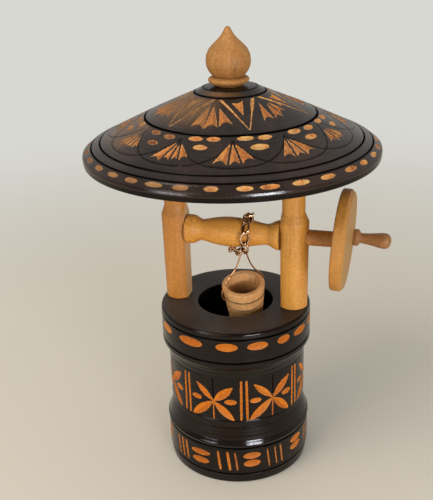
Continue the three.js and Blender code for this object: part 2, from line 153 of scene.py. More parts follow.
def turnedGrid(points, sides, depth):  # depth: how far each place is carved in, in millimetres
    angles = np.arange(sides) * 2 * math.pi / sides
    normal = outlineNormals(points)
    depth = np.broadcast_to(depth, (len(points), sides))
    radius = points[:, :1] - depth * normal[:, :1]
    height = points[:, 1:] - depth * normal[:, 1:]
    return np.stack([radius * np.cos(angles), radius * np.sin(angles), height * np.ones(sides)], axis=2)


def gridMesh(name, grid, startPole=None, endPole=None, closed=False, layers=None):
    rows, columns = grid.shape[:2]
    index = np.arange(rows * columns).reshape(rows, columns)
    aside = np.roll(index, -1, axis=1)
    if closed:
        quads = np.stack([index, aside, np.roll(aside, -1, axis=0), np.roll(index, -1, axis=0)], axis=2)
    else:
        quads = np.stack([index[:-1], aside[:-1], aside[1:], index[1:]], axis=2)
    points = grid.reshape(-1, 3).tolist()
    faces = quads.reshape(-1, 4).tolist()
    if startPole is not None:
        faces += [[len(points), b, a] for a, b in zip(index[0], aside[0])]
        points.append(startPole)
    if endPole is not None:
        faces += [[len(points), a, b] for a, b in zip(index[-1], aside[-1])]
        points.append(endPole)
    mesh = bpy.data.meshes.new(name)
    mesh.from_pydata([(x * mm, y * mm, z * mm) for x, y, z in points], [], faces)
    for layer, values in (layers or {}).items():
        flat = np.zeros(len(points), np.float32)
        flat[:rows * columns] = np.broadcast_to(values, (rows, columns)).ravel()
        mesh.attributes.new(layer, "FLOAT", "POINT").data.foreach_set("value", flat)
    mesh.shade_smooth()
    piece = bpy.data.objects.new(name, mesh)
    scene.collection.objects.link(piece)
    return piece


def turnedPiece(name, points, sides, depth=0, layers=None):  # the outline starts and ends on the axis
    grid = turnedGrid(points[1:-1], sides, depth)
    start = (0, 0, points[0][1])
    end = (0, 0, points[-1][1])
    return gridMesh(name, grid, start, end, layers=layers)


def placePiece(piece, matrix):  # places are kept in the mesh, so the object stays at the origin
    location = Matrix.Translation(matrix.translation * mm)
    piece.data.transform(location @ matrix.to_3x3().to_4x4())
    return piece


def alongX(x=0, y=0, z=0):
    return Matrix.Translation((x, y, z)) @ Matrix.Rotation(math.pi / 2, 4, "Y")


def bore(piece, cutter):
    modifier = piece.modifiers.new("bore", "BOOLEAN")
    modifier.operation = "DIFFERENCE"
    modifier.solver = "EXACT"
    modifier.object = cutter
    bpy.context.view_layer.update()
    evaluated = piece.evaluated_get(bpy.context.evaluated_depsgraph_get())
    drilled = bpy.data.meshes.new_from_object(evaluated)
    piece.modifiers.clear()
    piece.data = drilled
    bpy.data.objects.remove(cutter)


def rodTool(radius, start, end, matrix):
    points = np.array([(0, start), (radius, start), (radius, end), (0, end)], float)
    return placePiece(turnedPiece("tool", points, 48), matrix)


def finishPiece(piece, material, body, slot, node, sharp=38):  # sharp: edges over this angle stay sharp
    if sharp:
        piece.data.set_sharp_from_angle(angle=math.radians(sharp))
    piece.data.materials.clear()
    piece.data.materials.append(material)
    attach(piece, body)
    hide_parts(node)


# Short ways to write node trees

def tint(code):  # an sRGB colour like "c98f4a" as linear values
    parts = [int(code[i:i + 2], 16) / 255 for i in (0, 2, 4)]
    linear = [part / 12.92 if part <= 0.04045 else ((part + 0.055) / 1.055) ** 2.4 for part in parts]
    return (*linear, 1.0)


def put(tree, kind, inputs=None, **settings):
    node = tree.nodes.new("ShaderNode" + kind)
    for key, value in settings.items():
        setattr(node, key, value)
    for key, value in (inputs or {}).items():
        if isinstance(value, bpy.types.NodeSocket):
            tree.links.new(value, node.inputs[key])
        else:
            node.inputs[key].default_value = value
    return node


def calc(tree, operation, a, b=0.0, clamp=False):
    return put(tree, "Math", {0: a, 1: b}, operation=operation, use_clamp=clamp).outputs[0]


def times(tree, a, b):
    return calc(tree, "MULTIPLY", a, b)


def over(tree, color, amount, code):  # lays the colour of that code over another one
    return put(tree, "Mix", {0: amount, 6: color, 7: tint(code)}, data_type="RGBA").outputs[2]


def spread(tree, value, low, high, newLow=0.0, newHigh=1.0, soft=True):
    kind = "SMOOTHSTEP" if soft else "LINEAR"
    inputs = {"Value": value, "From Min": low, "From Max": high, "To Min": newLow, "To Max": newHigh}
    return put(tree, "MapRange", inputs, interpolation_type=kind).outputs[0]


def mapped(tree, coords, scale=(1, 1, 1), location=(0, 0, 0)):
    return put(tree, "Mapping", {"Vector": coords, "Scale": scale, "Location": location}).outputs[0]


def grainScale(axis, along, across):
    return [along if name == axis else across for name in "XYZ"]


def noise(tree, coords, scale, detail, roughness, distortion=0.0):
    inputs = {"Vector": coords, "Scale": scale, "Detail": detail, "Roughness": roughness,
              "Distortion": distortion}
    return put(tree, "TexNoise", inputs).outputs["Fac"]


def layer(tree, name):
    return put(tree, "Attribute", attribute_name=name).outputs["Fac"]


def objectCoords(tree):
    return put(tree, "TexCoord").outputs["Object"]


def bump(tree, height, distance, strength):
    return put(tree, "Bump", {"Height": height, "Distance": distance * mm, "Strength": strength}).outputs[0]


def newFinish(name, viewTint):
    material = bpy.data.materials.new(name)
    material.use_nodes = True
    material.diffuse_color = tint(viewTint)
    return material, material.node_tree, material.node_tree.nodes["Principled BSDF"]


def plug(tree, shader, sockets):
    for name, socket in sockets.items():
        tree.links.new(socket, shader.inputs[name])


# Plain turned wood. A piece's "wood" gives the finish's name, its light, middle and dark colour, the
# grain's axis, roughness, pores and seed, and "tints" gives (layer, amount, colour) laid over it

def turnedWood(name, light, middle, dark, grainAxis, rough, pores, seed):
    material, tree, shader = newFinish(name, middle)
    coords = mapped(tree, objectCoords(tree), location=(seed, seed * 0.7, seed * 0.3))
    fine = grainScale(grainAxis, 30, 900)
    fibres = noise(tree, mapped(tree, coords, fine), 1.0, 3.0, 0.6)
    bands = noise(tree, mapped(tree, coords, grainScale(grainAxis, 14, 150)), 1.0, 4.0, 0.55, 0.6)
    blotches = noise(tree, coords, 60.0, 3.0, 0.5)
    specks = noise(tree, mapped(tree, coords, [value * 2.2 for value in fine]), 1.0, 1.0, 0.5)
    flecks = noise(tree, coords, 1100.0, 2.0, 0.6)
    color = over(tree, tint(middle), spread(tree, bands, 0.3, 0.72), light)
    for mask, low, high, strength, code in (
            (fibres, 0.45, 0.8, 0.28, dark), (blotches, 0.4, 0.8, 0.3, light),
            (flecks, 0.5, 0.72, 0.45, light), (flecks, 0.46, 0.28, 0.3, dark)):
        color = over(tree, color, spread(tree, mask, low, high, 0.0, strength), code)
    mottling = spread(tree, noise(tree, coords, 950.0, 3.0, 0.65), 0.32, 0.68, 0.87, 1.12)
    color = put(tree, "HueSaturation", {"Color": color, "Value": mottling}).outputs[0]
    color = over(tree, color, spread(tree, specks, 0.62, 0.74, 0.0, pores), dark)
    relief = calc(tree, "ADD", times(tree, fibres, 0.6), times(tree, specks, 0.5))
    plug(tree, shader, {"Base Color": color, "Normal": bump(tree, relief, 0.12, 0.5),
                        "Roughness": spread(tree, fibres, 0.2, 0.8, rough - 0.06, rough + 0.12)})
    return material


def overlay(material, layerName, amount, code):  # tints a wood where one of the mesh's layers says so
    tree = material.node_tree
    socket = tree.nodes["Principled BSDF"].inputs["Base Color"]
    strength = times(tree, layer(tree, layerName), amount)
    tree.links.new(over(tree, socket.links[0].from_socket, strength, code), socket)


def makeTurned(form, points, matrix, layers=None, depth=0, holes=()):
    marks = turningMarks(points[1:-1], form["marks"])
    piece = turnedPiece(form["name"], points, form["sides"], marks + depth, layers)
    for hole in holes:
        bore(piece, hole)
    placePiece(piece, matrix)
    wood = turnedWood(*form["wood"])
    for tinting in form["tints"]:
        overlay(wood, *tinting)
    finishPiece(piece, wood, *form["part"], form["sharp"])
    return wood


# Dark stain under gloss lacquer, with bare wood where it is carved.
# Layers in the mesh: cut (distance inside a cut, in mm), tone (0 dark cut, 1 light cut, 2 pale cut;
# some cuts use it for painted shade on one facet or a painted highlight), line (incised line or groove,
# and painted shade inside the well), worn (rubbed through), matte (no gloss)

def darkStain(name, look):
    material, tree, shader = newFinish(name, look["stain"])
    coords = objectCoords(tree)
    fibres = noise(tree, mapped(tree, coords, grainScale(look["grainAxis"], 60, 800)), 1.0, 4.0, 0.6)
    dust = noise(tree, coords, 900.0, 3.0, 0.7)
    patches = noise(tree, coords, 45.0, 4.0, 0.6)
    dirt = noise(tree, coords, 420.0, 3.0, 0.65)
    cut, tone, line, matte = [layer(tree, each) for each in ("cut", "tone", "line", "matte")]
    worn = times(tree, layer(tree, "worn"), spread(tree, dust, 0.3, 0.7, 0.6, 1.0))
    # the stained surface
    flecks = times(tree, spread(tree, dust, 0.6, 0.8), spread(tree, patches, 0.35, 0.7, 0.2, 0.8))
    chalky = times(tree, matte, spread(tree, patches, 0.3, 0.7, 0.3, 0.7))
    stained = over(tree, tint(look["stain"]), spread(tree, patches, 0.38, 0.7), look["sheen"])
    for amount, code in ((times(tree, flecks, 0.5), look["rubbed"]), (chalky, "4a413a"),
                         (worn, look["rubbed"]), (line, "050403")):
        stained = over(tree, stained, amount, code)
    # the wood in the cuts, with a painted highlight along their edges, and dirty in places
    ragged = calc(tree, "ADD", cut, spread(tree, dust, 0.3, 0.7, -0.07, 0.07))
    bare = spread(tree, ragged, 0.0, 0.16)
    # a painted highlight in pale wood along the inner edge of each cut
    edgeHighlight = times(tree, spread(tree, cut, 0.05, 0.2), spread(tree, cut, 0.5, 0.25))
    edgeHighlight = times(tree, edgeHighlight, spread(tree, dust, 0.42, 0.62, 0.0, look["edgeHighlightStrength"]))
    wood = over(tree, tint(look["cutDark"]), spread(tree, tone, 0.0, 1.0, soft=False), look["cutLight"])
    for amount, code in ((spread(tree, tone, 1.0, 2.0, soft=False), look["cutPale"]),
                         (spread(tree, fibres, 0.5, 0.72, 0.0, 0.5), look["cutDark"]),
                         (spread(tree, patches, 0.45, 0.7, 0.0, 0.3), look["cutPale"]),
                         (edgeHighlight, look["cutPale"]),
                         (spread(tree, dirt, 0.52, 0.66, 0.0, look["dirt"]), look["cutDark"]),
                         (calc(tree, "MULTIPLY", worn, 1.5, clamp=True), look["rubbed"])):
        wood = over(tree, wood, amount, code)
    color = put(tree, "Mix", {0: bare, 6: stained, 7: wood}, data_type="RGBA").outputs[2]
    # gloss only where the lacquer is whole
    rough = look["rough"]
    glossy = spread(tree, dust, 0.3, 0.8, rough - 0.04, rough + 0.1)
    dull = calc(tree, "MAXIMUM", bare, times(tree, worn, 0.5))
    dull = calc(tree, "MAXIMUM", dull, times(tree, matte, 0.75))
    clean = calc(tree, "SUBTRACT", 1.0, line, clamp=True)
    relief = calc(tree, "ADD", times(tree, fibres, 0.5), times(tree, dust, 0.3))
    plug(tree, shader, {"Base Color": color, "Normal": bump(tree, relief, 0.1, 0.3),
                        "Roughness": calc(tree, "ADD", times(tree, dull, 0.55 - rough), glossy),
                        "Specular IOR Level": times(tree, clean, look["shine"])})
    return material


# Carving: signed distances into shapes drawn on an unrolled surface, in millimetres, positive inside

farOutside = -5.0
leafShares = [0.15, 0.6, 0.9, 1.0, 0.92, 0.65, 0.2]
barShares = [0.8, 1.0, 1.0, 1.0, 0.85]


def wrapped(angles):  # degrees, from -180 to 180
    return (angles + 180) % 360 - 180


def placesBehind(first, last, count):  # even places behind, from the last one in front round to the first
    gap = (first + 360 - last) / (count + 1)
    return [last + gap * (i + 1) for i in range(count)]


def ovalCut(u, v, length, height, lean=0.0):
    a, b = length / 2, height / 2
    v = v - lean * u
    reach = (np.abs(u / a) ** 2.1 + np.abs(v / b) ** 1.9) ** 0.5
    return (1 - reach) * b


def bladeCut(u, v, start, end, halfWidth, shares):  # shares: width shares at even steps along it
    along = np.array(end, float) - np.array(start, float)
    length = np.hypot(*along)
    t = ((u - start[0]) * along[0] + (v - start[1]) * along[1]) / length ** 2
    aside = ((u - start[0]) * along[1] - (v - start[1]) * along[0]) / length
    half = halfWidth * np.interp(t, np.linspace(0, 1, len(shares)), shares)
    beyond = np.maximum(np.maximum(-t, t - 1), 0) * length
    return half - np.hypot(aside, beyond)


def featherCut(u, v, apex, tipA, tipB, notch):  # a narrow triangle whose outer edge is hollow
    def beside(start, end):
        along = np.array(end, float) - np.array(start, float)
        return ((v - start[1]) * along[0] - (u - start[0]) * along[1]) / np.hypot(*along)

    crossed = (tipA[0] - apex[0]) * (tipB[1] - apex[1]) - (tipA[1] - apex[1]) * (tipB[0] - apex[0])
    turn = 1 if crossed > 0 else -1
    outer = np.array(tipB, float) - np.array(tipA, float)
    share = ((u - tipA[0]) * outer[0] + (v - tipA[1]) * outer[1]) / (outer @ outer)
    hollow = notch * np.clip(4 * share * (1 - share), 0, 1)
    sides = np.minimum(turn * beside(apex, tipA), turn * beside(tipB, apex))
    return np.minimum(sides, turn * beside(tipA, tipB) - hollow)


class Carving:
    # the cuts made so far on one grid of rows and columns
    def __init__(self, shape):
        self.cut = np.full(shape, farOutside)
        self.depth = np.zeros(shape)
        self.tone = np.full(shape, 0.5)
        self.line = np.zeros(shape)

    def add(self, inside, tone, slope, deepest):
        near = inside > self.cut
        self.tone = np.where(near & (inside > -0.6), tone, self.tone)
        self.cut = np.maximum(self.cut, inside)
        self.depth = np.maximum(self.depth, np.clip(inside * slope, 0, deepest))

    def scratch(self, inside, deepest, dark):
        strength = np.clip(inside / 0.25 + 0.6, 0, 1)
        self.line = np.maximum(self.line, strength * dark)
        self.depth = np.maximum(self.depth, strength * deepest)

    def blacken(self, away, width):  # away: distance from the bottom of a turned groove
        self.line = np.maximum(self.line, np.clip((width / 2 + 0.2 - np.abs(away)) / 0.35, 0, 1))


# Well body

bodyForm = {
    "sides": 560, "carvedSpacing": 0.46, "plainSpacing": 0.7, "plainHeights": [(24, 36), (66, 82)],
    "footRadius": 38.8, "footHeight": 6.0, "footRound": 0.8,
    "lowerBandRadius": 39.7, "lowerBandTop": 22.6,
    # (radius, height, rounding) up the shoulder
    "shoulder": [(40.15, 24.8, 0.4), (39.1, 27.2, 0.5), (36.6, 35.0, 0.3)],
    "waistFootRadius": 36.5, "waistFootTop": 38.6,
    "waistRadius": 37.5, "coveBottom": 66.2, "coveTop": 73.4,
    "bandRadius": 40.7, "bandGroove": 76.0, "edgeGroove": 89.6,
    "grooveDepth": 0.75, "grooveWidth": 1.1,
    "wellRadius": 20.3, "wellFloor": 17.0, "wellRound": 0.8,
    "marks": [(0.035, 2.3, 0.4), (0.025, 1.37, 1.9), (0.02, 4.6, 3.0)],
    # the marks are faint on the shoulder, which catches a line of light
    "markHeights": [1, 1.2, 25, 27, 42, 46], "markShares": [0, 1, 1, 0.35, 0.35, 1],
}
bodyCuts = {
    "patternTurn": -74.9,  # degrees on the object where the pattern's own angle is zero
    "topOvalHeight": 85.5,
    # (pattern angle, length, height)
    "topOvals": [(-65, 12, 4.6), (-36.3, 15.4, 5), (-7.5, 11.9, 4.8), (15.3, 11.5, 4.6),
                 (36.8, 8.4, 4.6), (55.5, 12, 4.4), (76, 11, 4.4)],
    "topOvalsBehind": 9, "topOvalBehind": (11.4, 4.6),
    "pairAngles": [-45.8, 4.9, 54.0, 106.0, 158.1, 210.1, 262.2],
    "pairHalfGap": 1.55, "pairBottom": 39.5, "pairTop": 63.2, "barHalfWidth": 0.72,
    "flowerHeight": 50.6,
    # (across, up) from the flower's middle to each petal's tip
    "petalTips": [(-10.4, 10.1), (11.2, 9.5), (-13.0, -11.4), (11.0, -11.4)],
    "petalStart": 0.03, "petalHalfWidths": [1.9, 2.5, 2.5, 2.3], "shortPetalShare": 0.92,
    # (across, up, length, height)
    "sideOvals": [(-9.9, 0.4, 6.6, 3.2), (9.4, 0.0, 7.0, 3.4)],
    "stemUpper": (52.0, 64.0, 0.36), "stemLower": (39.5, 49.6, 0.5),
    # (pattern angle, height, length, height of the oval)
    "bandOvals": [(-32.5, 16.9, 12.5, 3.8), (-32.5, 11.8, 11.0, 4.2), (10, 17.7, 9.8, 4.2),
                  (10, 12.7, 9.6, 4.5), (52, 18.4, 9.6, 4.2), (52, 13.9, 9.6, 4.2)],
    "bandOvalsBehind": 5, "bandOvalStep": 45.9,
    # (height, length, height of the oval)
    "bandPairBehind": [(17.6, 10.2, 4.1), (12.8, 10.0, 4.2)],
    # (pattern angle, half width)
    "bandBars": [(-57, 0.8), (-51.5, 0.8), (-46.5, 0.8), (-16.2, 0.75), (-8.5, 0.8), (-2.6, 0.6),
                 (23.5, 0.55), (30.2, 0.5), (35.5, 0.6)],
    "bandBarBottom": 8.8, "bandBarTop": 19.8, "bandBarLean": 1.3,
    "barTripleStep": 5.9, "barTripleHalf": 0.7,
}
bodyLook = {
    "stain": "130c08", "sheen": "1b120c", "rubbed": "4a3220",
    "cutDark": "8a420a", "cutLight": "ca7012", "cutPale": "cf8e40", "edgeHighlightStrength": 0.45, "dirt": 0.35,
    "grainAxis": "Z", "rough": 0.12, "shine": 0.22,
}


def bodyOutline(form):
    def groove(radius, height):
        half = form["grooveWidth"] / 2
        return [(radius, height - half, 0.2), (radius - form["grooveDepth"], height, 0.2),
                (radius, height + half, 0.2)]

    band = form["bandRadius"]
    waist = form["waistRadius"]
    waistFoot = form["waistFootRadius"]
    cove = form["coveBottom"]
    corners = [
        (0, 0),
        (form["footRadius"], 0, form["footRound"]),
        (form["lowerBandRadius"] - 0.3, form["footHeight"] - 0.7, 0.3),
        (form["lowerBandRadius"] - 0.8, form["footHeight"], 0.2),
        (form["lowerBandRadius"], form["footHeight"] + 0.7, 0.3),
        *groove(form["lowerBandRadius"], form["lowerBandTop"]),
        *form["shoulder"],
        (waistFoot + 0.35, form["shoulder"][-1][1] + 0.6, 0.2),
        (waistFoot, form["waistFootTop"] - 0.8, 0.3),
        (waistFoot - 0.3, form["waistFootTop"] - 0.2, 0.15),
        (waist, form["waistFootTop"] + 0.5, 0.3),
        (waist, cove, 1.2),
        (waist + 0.5, cove + 1.8, 0.5), (waist + 0.45, cove + 2.4, 0.3),
        (waist + 1.3, cove + 3.8, 0.5), (waist + 1.3, cove + 4.4, 0.3),
        (waist + 2.3, form["coveTop"] - 1.2, 0.6),
        (band, form["coveTop"], 0.5),
        *groove(band, form["bandGroove"]),
        *groove(band, form["edgeGroove"]),
        (band, bodyTop - 1.75, 0.4), (band - 0.37, bodyTop - 0.57, 0.5), (band - 1.1, bodyTop, 0.3),
        (form["wellRadius"], bodyTop, form["wellRound"]),
        (form["wellRadius"], form["wellFloor"], 0.4),
        (0, form["wellFloor"]),
    ]

    def spacing(radius, height):
        if radius < form["footRadius"] - 2 or height < 1:
            return 3.0
        plain = any(low < height < high for low, high in form["plainHeights"])
        return form["plainSpacing"] if plain else form["carvedSpacing"]

    return outline(corners, spacing)


def carveBody(points, sides, cuts):
    carving = Carving((len(points), sides))
    turns = turnsOf(sides) - cuts["patternTurn"]
    radius = points[:, :1]
    height = points[:, 1:]

    def around(angle):  # millimetres round the body from a pattern angle
        return radius * np.radians(wrapped(turns - angle))

    # ovals round the upper band
    ovals = list(cuts["topOvals"])
    longBehind, wideBehind = cuts["topOvalBehind"]
    for i, angle in enumerate(placesBehind(ovals[0][0], ovals[-1][0], cuts["topOvalsBehind"])):
        ovals.append((angle, longBehind + 0.8 * math.sin(2.4 * i), wideBehind))
    for angle, length, wide in ovals:
        inside = ovalCut(around(angle), height - cuts["topOvalHeight"], length, wide)
        carving.add(inside, rng.uniform(0.35, 0.8), 0.4, 0.7)
    # pairs of bars and the flowers between them
    pairs = cuts["pairAngles"]
    for i, angle in enumerate(pairs):
        for side in (-1, 1):
            u = around(angle) - side * cuts["pairHalfGap"]
            ends = (side * 0.1, cuts["pairBottom"]), (-side * 0.1, cuts["pairTop"])
            inside = bladeCut(u, height, *ends, cuts["barHalfWidth"], barShares)
            carving.add(inside, rng.uniform(0.55, 0.85), 0.8, 0.5)
        following = pairs[(i + 1) % len(pairs)]
        flower = angle + (following - angle) % 360 / 2
        u, v = around(flower), height - cuts["flowerHeight"]
        for tip, half in zip(cuts["petalTips"], cuts["petalHalfWidths"]):
            start = [share * cuts["petalStart"] for share in tip]
            if i == 0 and tip[1] > 0:  # this flower's upper petals are shorter
                tip = [share * cuts["shortPetalShare"] for share in tip]
            inside = bladeCut(u, v, start, tip, half, leafShares)
            # two facets meet in each petal's valley; one facet is painted darker, as painted shade
            upper = (u * tip[1] - v * tip[0]) * (1 if tip[0] > 0 else -1) > 0
            carving.add(inside, np.where(upper, 0.5, 1.0), 0.55, 0.95)
        for across, up, length, wide in cuts["sideOvals"]:
            carving.add(ovalCut(u - across, v - up, length, wide), rng.uniform(0.5, 0.85), 0.4, 0.6)
        low, high, half = cuts["stemUpper"]
        carving.scratch(bladeCut(u, height, (0, low), (0, high), half, [1, 1]), 0.3, 0.9)
        low, high, half = cuts["stemLower"]
        carving.add(bladeCut(u, height, (0, low), (0, high), half, [1, 1]), 0.15, 0.8, 0.4)
    # ovals in twos and bars in threes round the lower band
    ovals = list(cuts["bandOvals"])
    bars = list(cuts["bandBars"])
    for i in range(cuts["bandOvalsBehind"]):
        angle = cuts["bandOvals"][-1][0] + cuts["bandOvalStep"] * (i + 1)
        ovals += [(angle, *pairOval) for pairOval in cuts["bandPairBehind"]]
        middle = angle - cuts["bandOvalStep"] / 2
        bars += [(middle + side * cuts["barTripleStep"], cuts["barTripleHalf"]) for side in (-1, 0, 1)]
    for angle, up, length, wide in ovals:
        inside = ovalCut(around(angle), height - up, length, wide, 0.03)
        carving.add(inside, rng.uniform(0.3, 0.7), 0.4, 0.6)
    lean = cuts["bandBarLean"] / 2
    ends = (lean, cuts["bandBarBottom"]), (-lean, cuts["bandBarTop"])
    for angle, half in bars:
        inside = bladeCut(around(angle), height, *ends, half, barShares)
        carving.add(inside, rng.uniform(0.2, 0.7) if half > 0.6 else -0.4, 0.8, 0.5)
    for groove in (bodyForm["footHeight"], bodyForm["lowerBandTop"], bodyForm["waistFootTop"] - 0.1,
                   bodyForm["bandGroove"], bodyForm["edgeGroove"]):
        carving.blacken(height - groove, bodyForm["grooveWidth"])
    # only the outer side is carved
    outside = radius > bodyForm["footRadius"] - 3
    carving.cut = np.where(outside, carving.cut, farOutside)
    carving.depth = np.where(outside, carving.depth, 0)
    carving.line = np.where(outside, carving.line, 0)
    return carving


bodyPoints = bodyOutline(bodyForm)
bodyRows = bodyPoints[1:-1]
rowRadius, rowHeight = bodyRows[:, :1], bodyRows[:, 1:]
bodyCarving = carveBody(bodyRows, bodyForm["sides"], bodyCuts)
inWell = (rowRadius < bodyForm["wellRadius"] + 0.4) & (rowHeight > 5)
onTop = (rowHeight > bodyTop - 0.4) & (rowRadius < bodyForm["bandRadius"] - 1.2) & ~inWell
bodyMarks = turningMarks(bodyRows, bodyForm["marks"]) * ~(onTop | inWell)
bodyMarks = bodyMarks * np.interp(rowHeight, bodyForm["markHeights"], bodyForm["markShares"])
# the line layer paints the inside of the well black, as painted shade
body = turnedPiece("carved_well_body", bodyPoints, bodyForm["sides"], bodyCarving.depth + bodyMarks,
                   {"cut": bodyCarving.cut, "tone": bodyCarving.tone, "worn": 0, "matte": onTop * 1.0,
                    "line": np.maximum(bodyCarving.line, 0.8 * inWell)})
finishPiece(body, darkStain("body_stain", bodyLook), "frame", "dark_stained_wood", "well_body")
print("Well body turned and carved:", len(body.data.polygons), "faces")


# Roof

roofForm = {
    "sides": 600, "spacing": 0.56, "grooveSpacing": 0.32, "plainSpacing": 1.2,
    "edgeRadius": 74.9, "arrisRadius": 75.25, "arrisHeight": 4.2, "rimInner": 66.0, "hollow": 3.0,
    # (radius, height over the lower edge, width)
    "grooves": [(70.6, 7.6, 0.9), (66.1, 9.7, 1.0), (42.95, 21.0, 1.3), (17.7, 32.3, 0.95)],
    "ringRadius": 13.4, "marks": [(0.03, 1.9, 0.2), (0.03, 3.3, 1.1), (0.02, 1.1, 2.0)],
}
roofCuts = {
    "patternTurn": 15.1,
    # lower fans: (pattern angle of the apex, its radius, [(angle, radius) of the feathers' tips])
    "fans": [
        (209.6, 48.9, [(199.5, 58.5), (204.8, 59.4), (210.0, 59.0), (214.4, 58.4), (218.6, 56.6)]),
        (240.4, 47.4, [(229.8, 60.6), (237.0, 60.0), (241.4, 59.2), (245.4, 58.8), (250.4, 57.0)]),
        (270.3, 46.9, [(260.8, 59.2), (268.1, 60.4), (274.2, 60.2), (280.8, 57.6)]),
        (300.8, 47.4, [(292.8, 58.4), (299.4, 59.4), (305.2, 59.4), (312.6, 58.2)]),
        (332.4, 48.6, [(324.6, 57.0), (330.2, 58.8), (336.2, 58.8), (342.0, 57.2)]),
    ],
    "fansBehind": 6, "fansFirst": 208.0, "fansLast": 333.5, "fanMiddle": 270.3, "fanStep": 29.9,
    "fanNotch": 2.3, "fanGap": 0.72, "apexShare": 0.12, "featherGrowth": 0.2,
    # ovals in threes: (pattern angle, radius, length, width, tone)
    "ovals": [
        (219.0, 45.5, 7.0, 3.0, 0.1), (231.4, 46.0, 7.0, 3.0, 0.0), (224.4, 51.2, 7.0, 3.0, 0.0),
        (248.8, 45.2, 7.5, 3.0, 1.1), (259.6, 45.0, 7.0, 3.0, 0.9), (253.5, 50.2, 7.0, 3.2, 1.3),
        (278.1, 44.9, 8.3, 2.9, 1.7), (289.5, 45.3, 7.2, 3.1, 1.4), (284.4, 50.6, 9.0, 3.7, 1.6),
        (310.1, 45.0, 8.0, 3.3, 1.5), (322.7, 45.4, 7.0, 3.2, 1.3), (316.8, 50.4, 7.8, 3.4, 1.4),
        (338.1, 44.9, 6.8, 3.1, 1.4), (349.0, 45.5, 6.8, 3.1, 1.2), (346.0, 50.7, 6.8, 3.1, 1.3),
    ],
    # (pattern angle from the middle of the three, radius, length, width, tone) of those behind
    "ovalsBehind": [(-5.6, 45.2, 7.1, 3.2, 0.9), (5.8, 45.2, 7.1, 3.2, 1.2), (0, 50.4, 7.1, 3.2, 1.1)],
    "arcHalfAngle": 31.0, "arcInner": 46.0, "arcReach": 16.0, "arcHalfWidth": 0.28, "arcPower": 2.6,
    # ovals round the rim: (pattern angle, length)
    "rimOvals": [(211.2, 7.6), (221.6, 8.0), (231.6, 7.6), (241.5, 9.0), (251.8, 7.8), (262.6, 6.8),
                 (274.0, 7.8), (282.7, 9.6), (294.0, 9.0), (305.3, 9.0), (317.3, 8.9), (326.4, 6.8),
                 (337.3, 7.4)],
    "rimOvalsBehind": 20, "rimOvalBehind": 7.6, "rimOvalWidth": 2.9, "rimOvalRadius": 72.9,
    "rimFadedFrom": 176, "rimFadedTo": 208, "rimFading": 1.4,
    # one sixth of the upper cone, seen in front: (pattern angle, radius) of each point
    "upperTurn": 60.0, "upperCopies": 6, "sideCopy": 1, "streakCopy": 5, "upperStart": 18.5,
    "upperFeathers": [
        ((245.9, 22.4), (240.0, 37.9), (250.2, 38.8)), ((249.4, 22.0), (251.0, 38.6), (260.2, 37.6)),
        ((257.0, 24.0), (261.4, 36.9), (271.0, 35.6)),
    ],
    "sideFeathers": [
        ((306.7, 21.8), (296.6, 35.0), (305.2, 34.8)), ((314.6, 23.6), (307.6, 35.2), (315.6, 34.8)),
        ((317.4, 22.8), (317.2, 32.8), (325.6, 32.2)), ((327.5, 21.0), (328.0, 29.0), (333.0, 30.0)),
    ],
    "upperNotch": 2.2,
    # long cuts: (inner point, outer point, half width, width shares)
    "longCuts": [
        ((254.0, 18.6), (282.0, 39.6), 0.7, [1.0, 0.95, 0.8, 0.6, 0.4]),
        ((304.6, 18.6), (290.5, 28.1), 0.9, [0.7, 1.0, 1.0, 0.8, 0.45]),
        ((291.2, 27.4), (282.6, 39.6), 0.36, [1.0, 1.0, 1.0, 0.9, 0.8]),
    ],
    "wedge": ((281.3, 30.2), (270.0, 20.7), (287.4, 19.4)), "wedgeNotch": 1.5,
    "streak": ((246.5, 18.6), (224.0, 40.4), 0.6, [0.8, 1.0, 0.9, 0.8, 0.6]),
    # scratches: many on the left, a few faint ones at the side. Each pair is a range
    "scratches": 30, "scratchAngles": (186.0, 236.0), "scratchSlants": (-0.7, 0.9),
    "scratchInner": (18.6, 27), "scratchOuter": (28, 39), "scratchHalves": (0.16, 0.4),
    "sideScratches": 5, "sideAngles": (312, 336), "sideSlants": (8, 18), "sideHalf": 0.24,
    "scratchShares": [0.6, 1.0, 0.9, 0.7, 0.5], "scratchStrength": 0.5,
}
# where the stain is rubbed, on the left: each row gives where it begins, is full, fades and ends,
# in degrees of the pattern or in millimetres of radius
roofWear = {
    "coneAngles": (166, 182, 236, 262), "coneRadii": (17.8, 19.8, 29, 41),
    "ringAngles": (198, 248, 248, 298), "ringRadii": (13.4, 13.9, 16.6, 17.2), "ringShare": 0.8,
    "skirtAngles": (150, 160, 206, 214), "skirtRadii": (43.6, 44.6, 58, 64), "skirtShare": 0.75,
    "rimAngles": (190, 200, 256, 266), "rimFrom": 71.2, "rimShare": 0.6,
}
roofLook = {
    "stain": "1a120e", "sheen": "2f2018", "rubbed": "7d5833",
    "cutDark": "743c16", "cutLight": "bf7632", "cutPale": "c59a5a", "edgeHighlightStrength": 0.85, "dirt": 0.65,
    "grainAxis": "X", "rough": 0.19, "shine": 0.42,
}


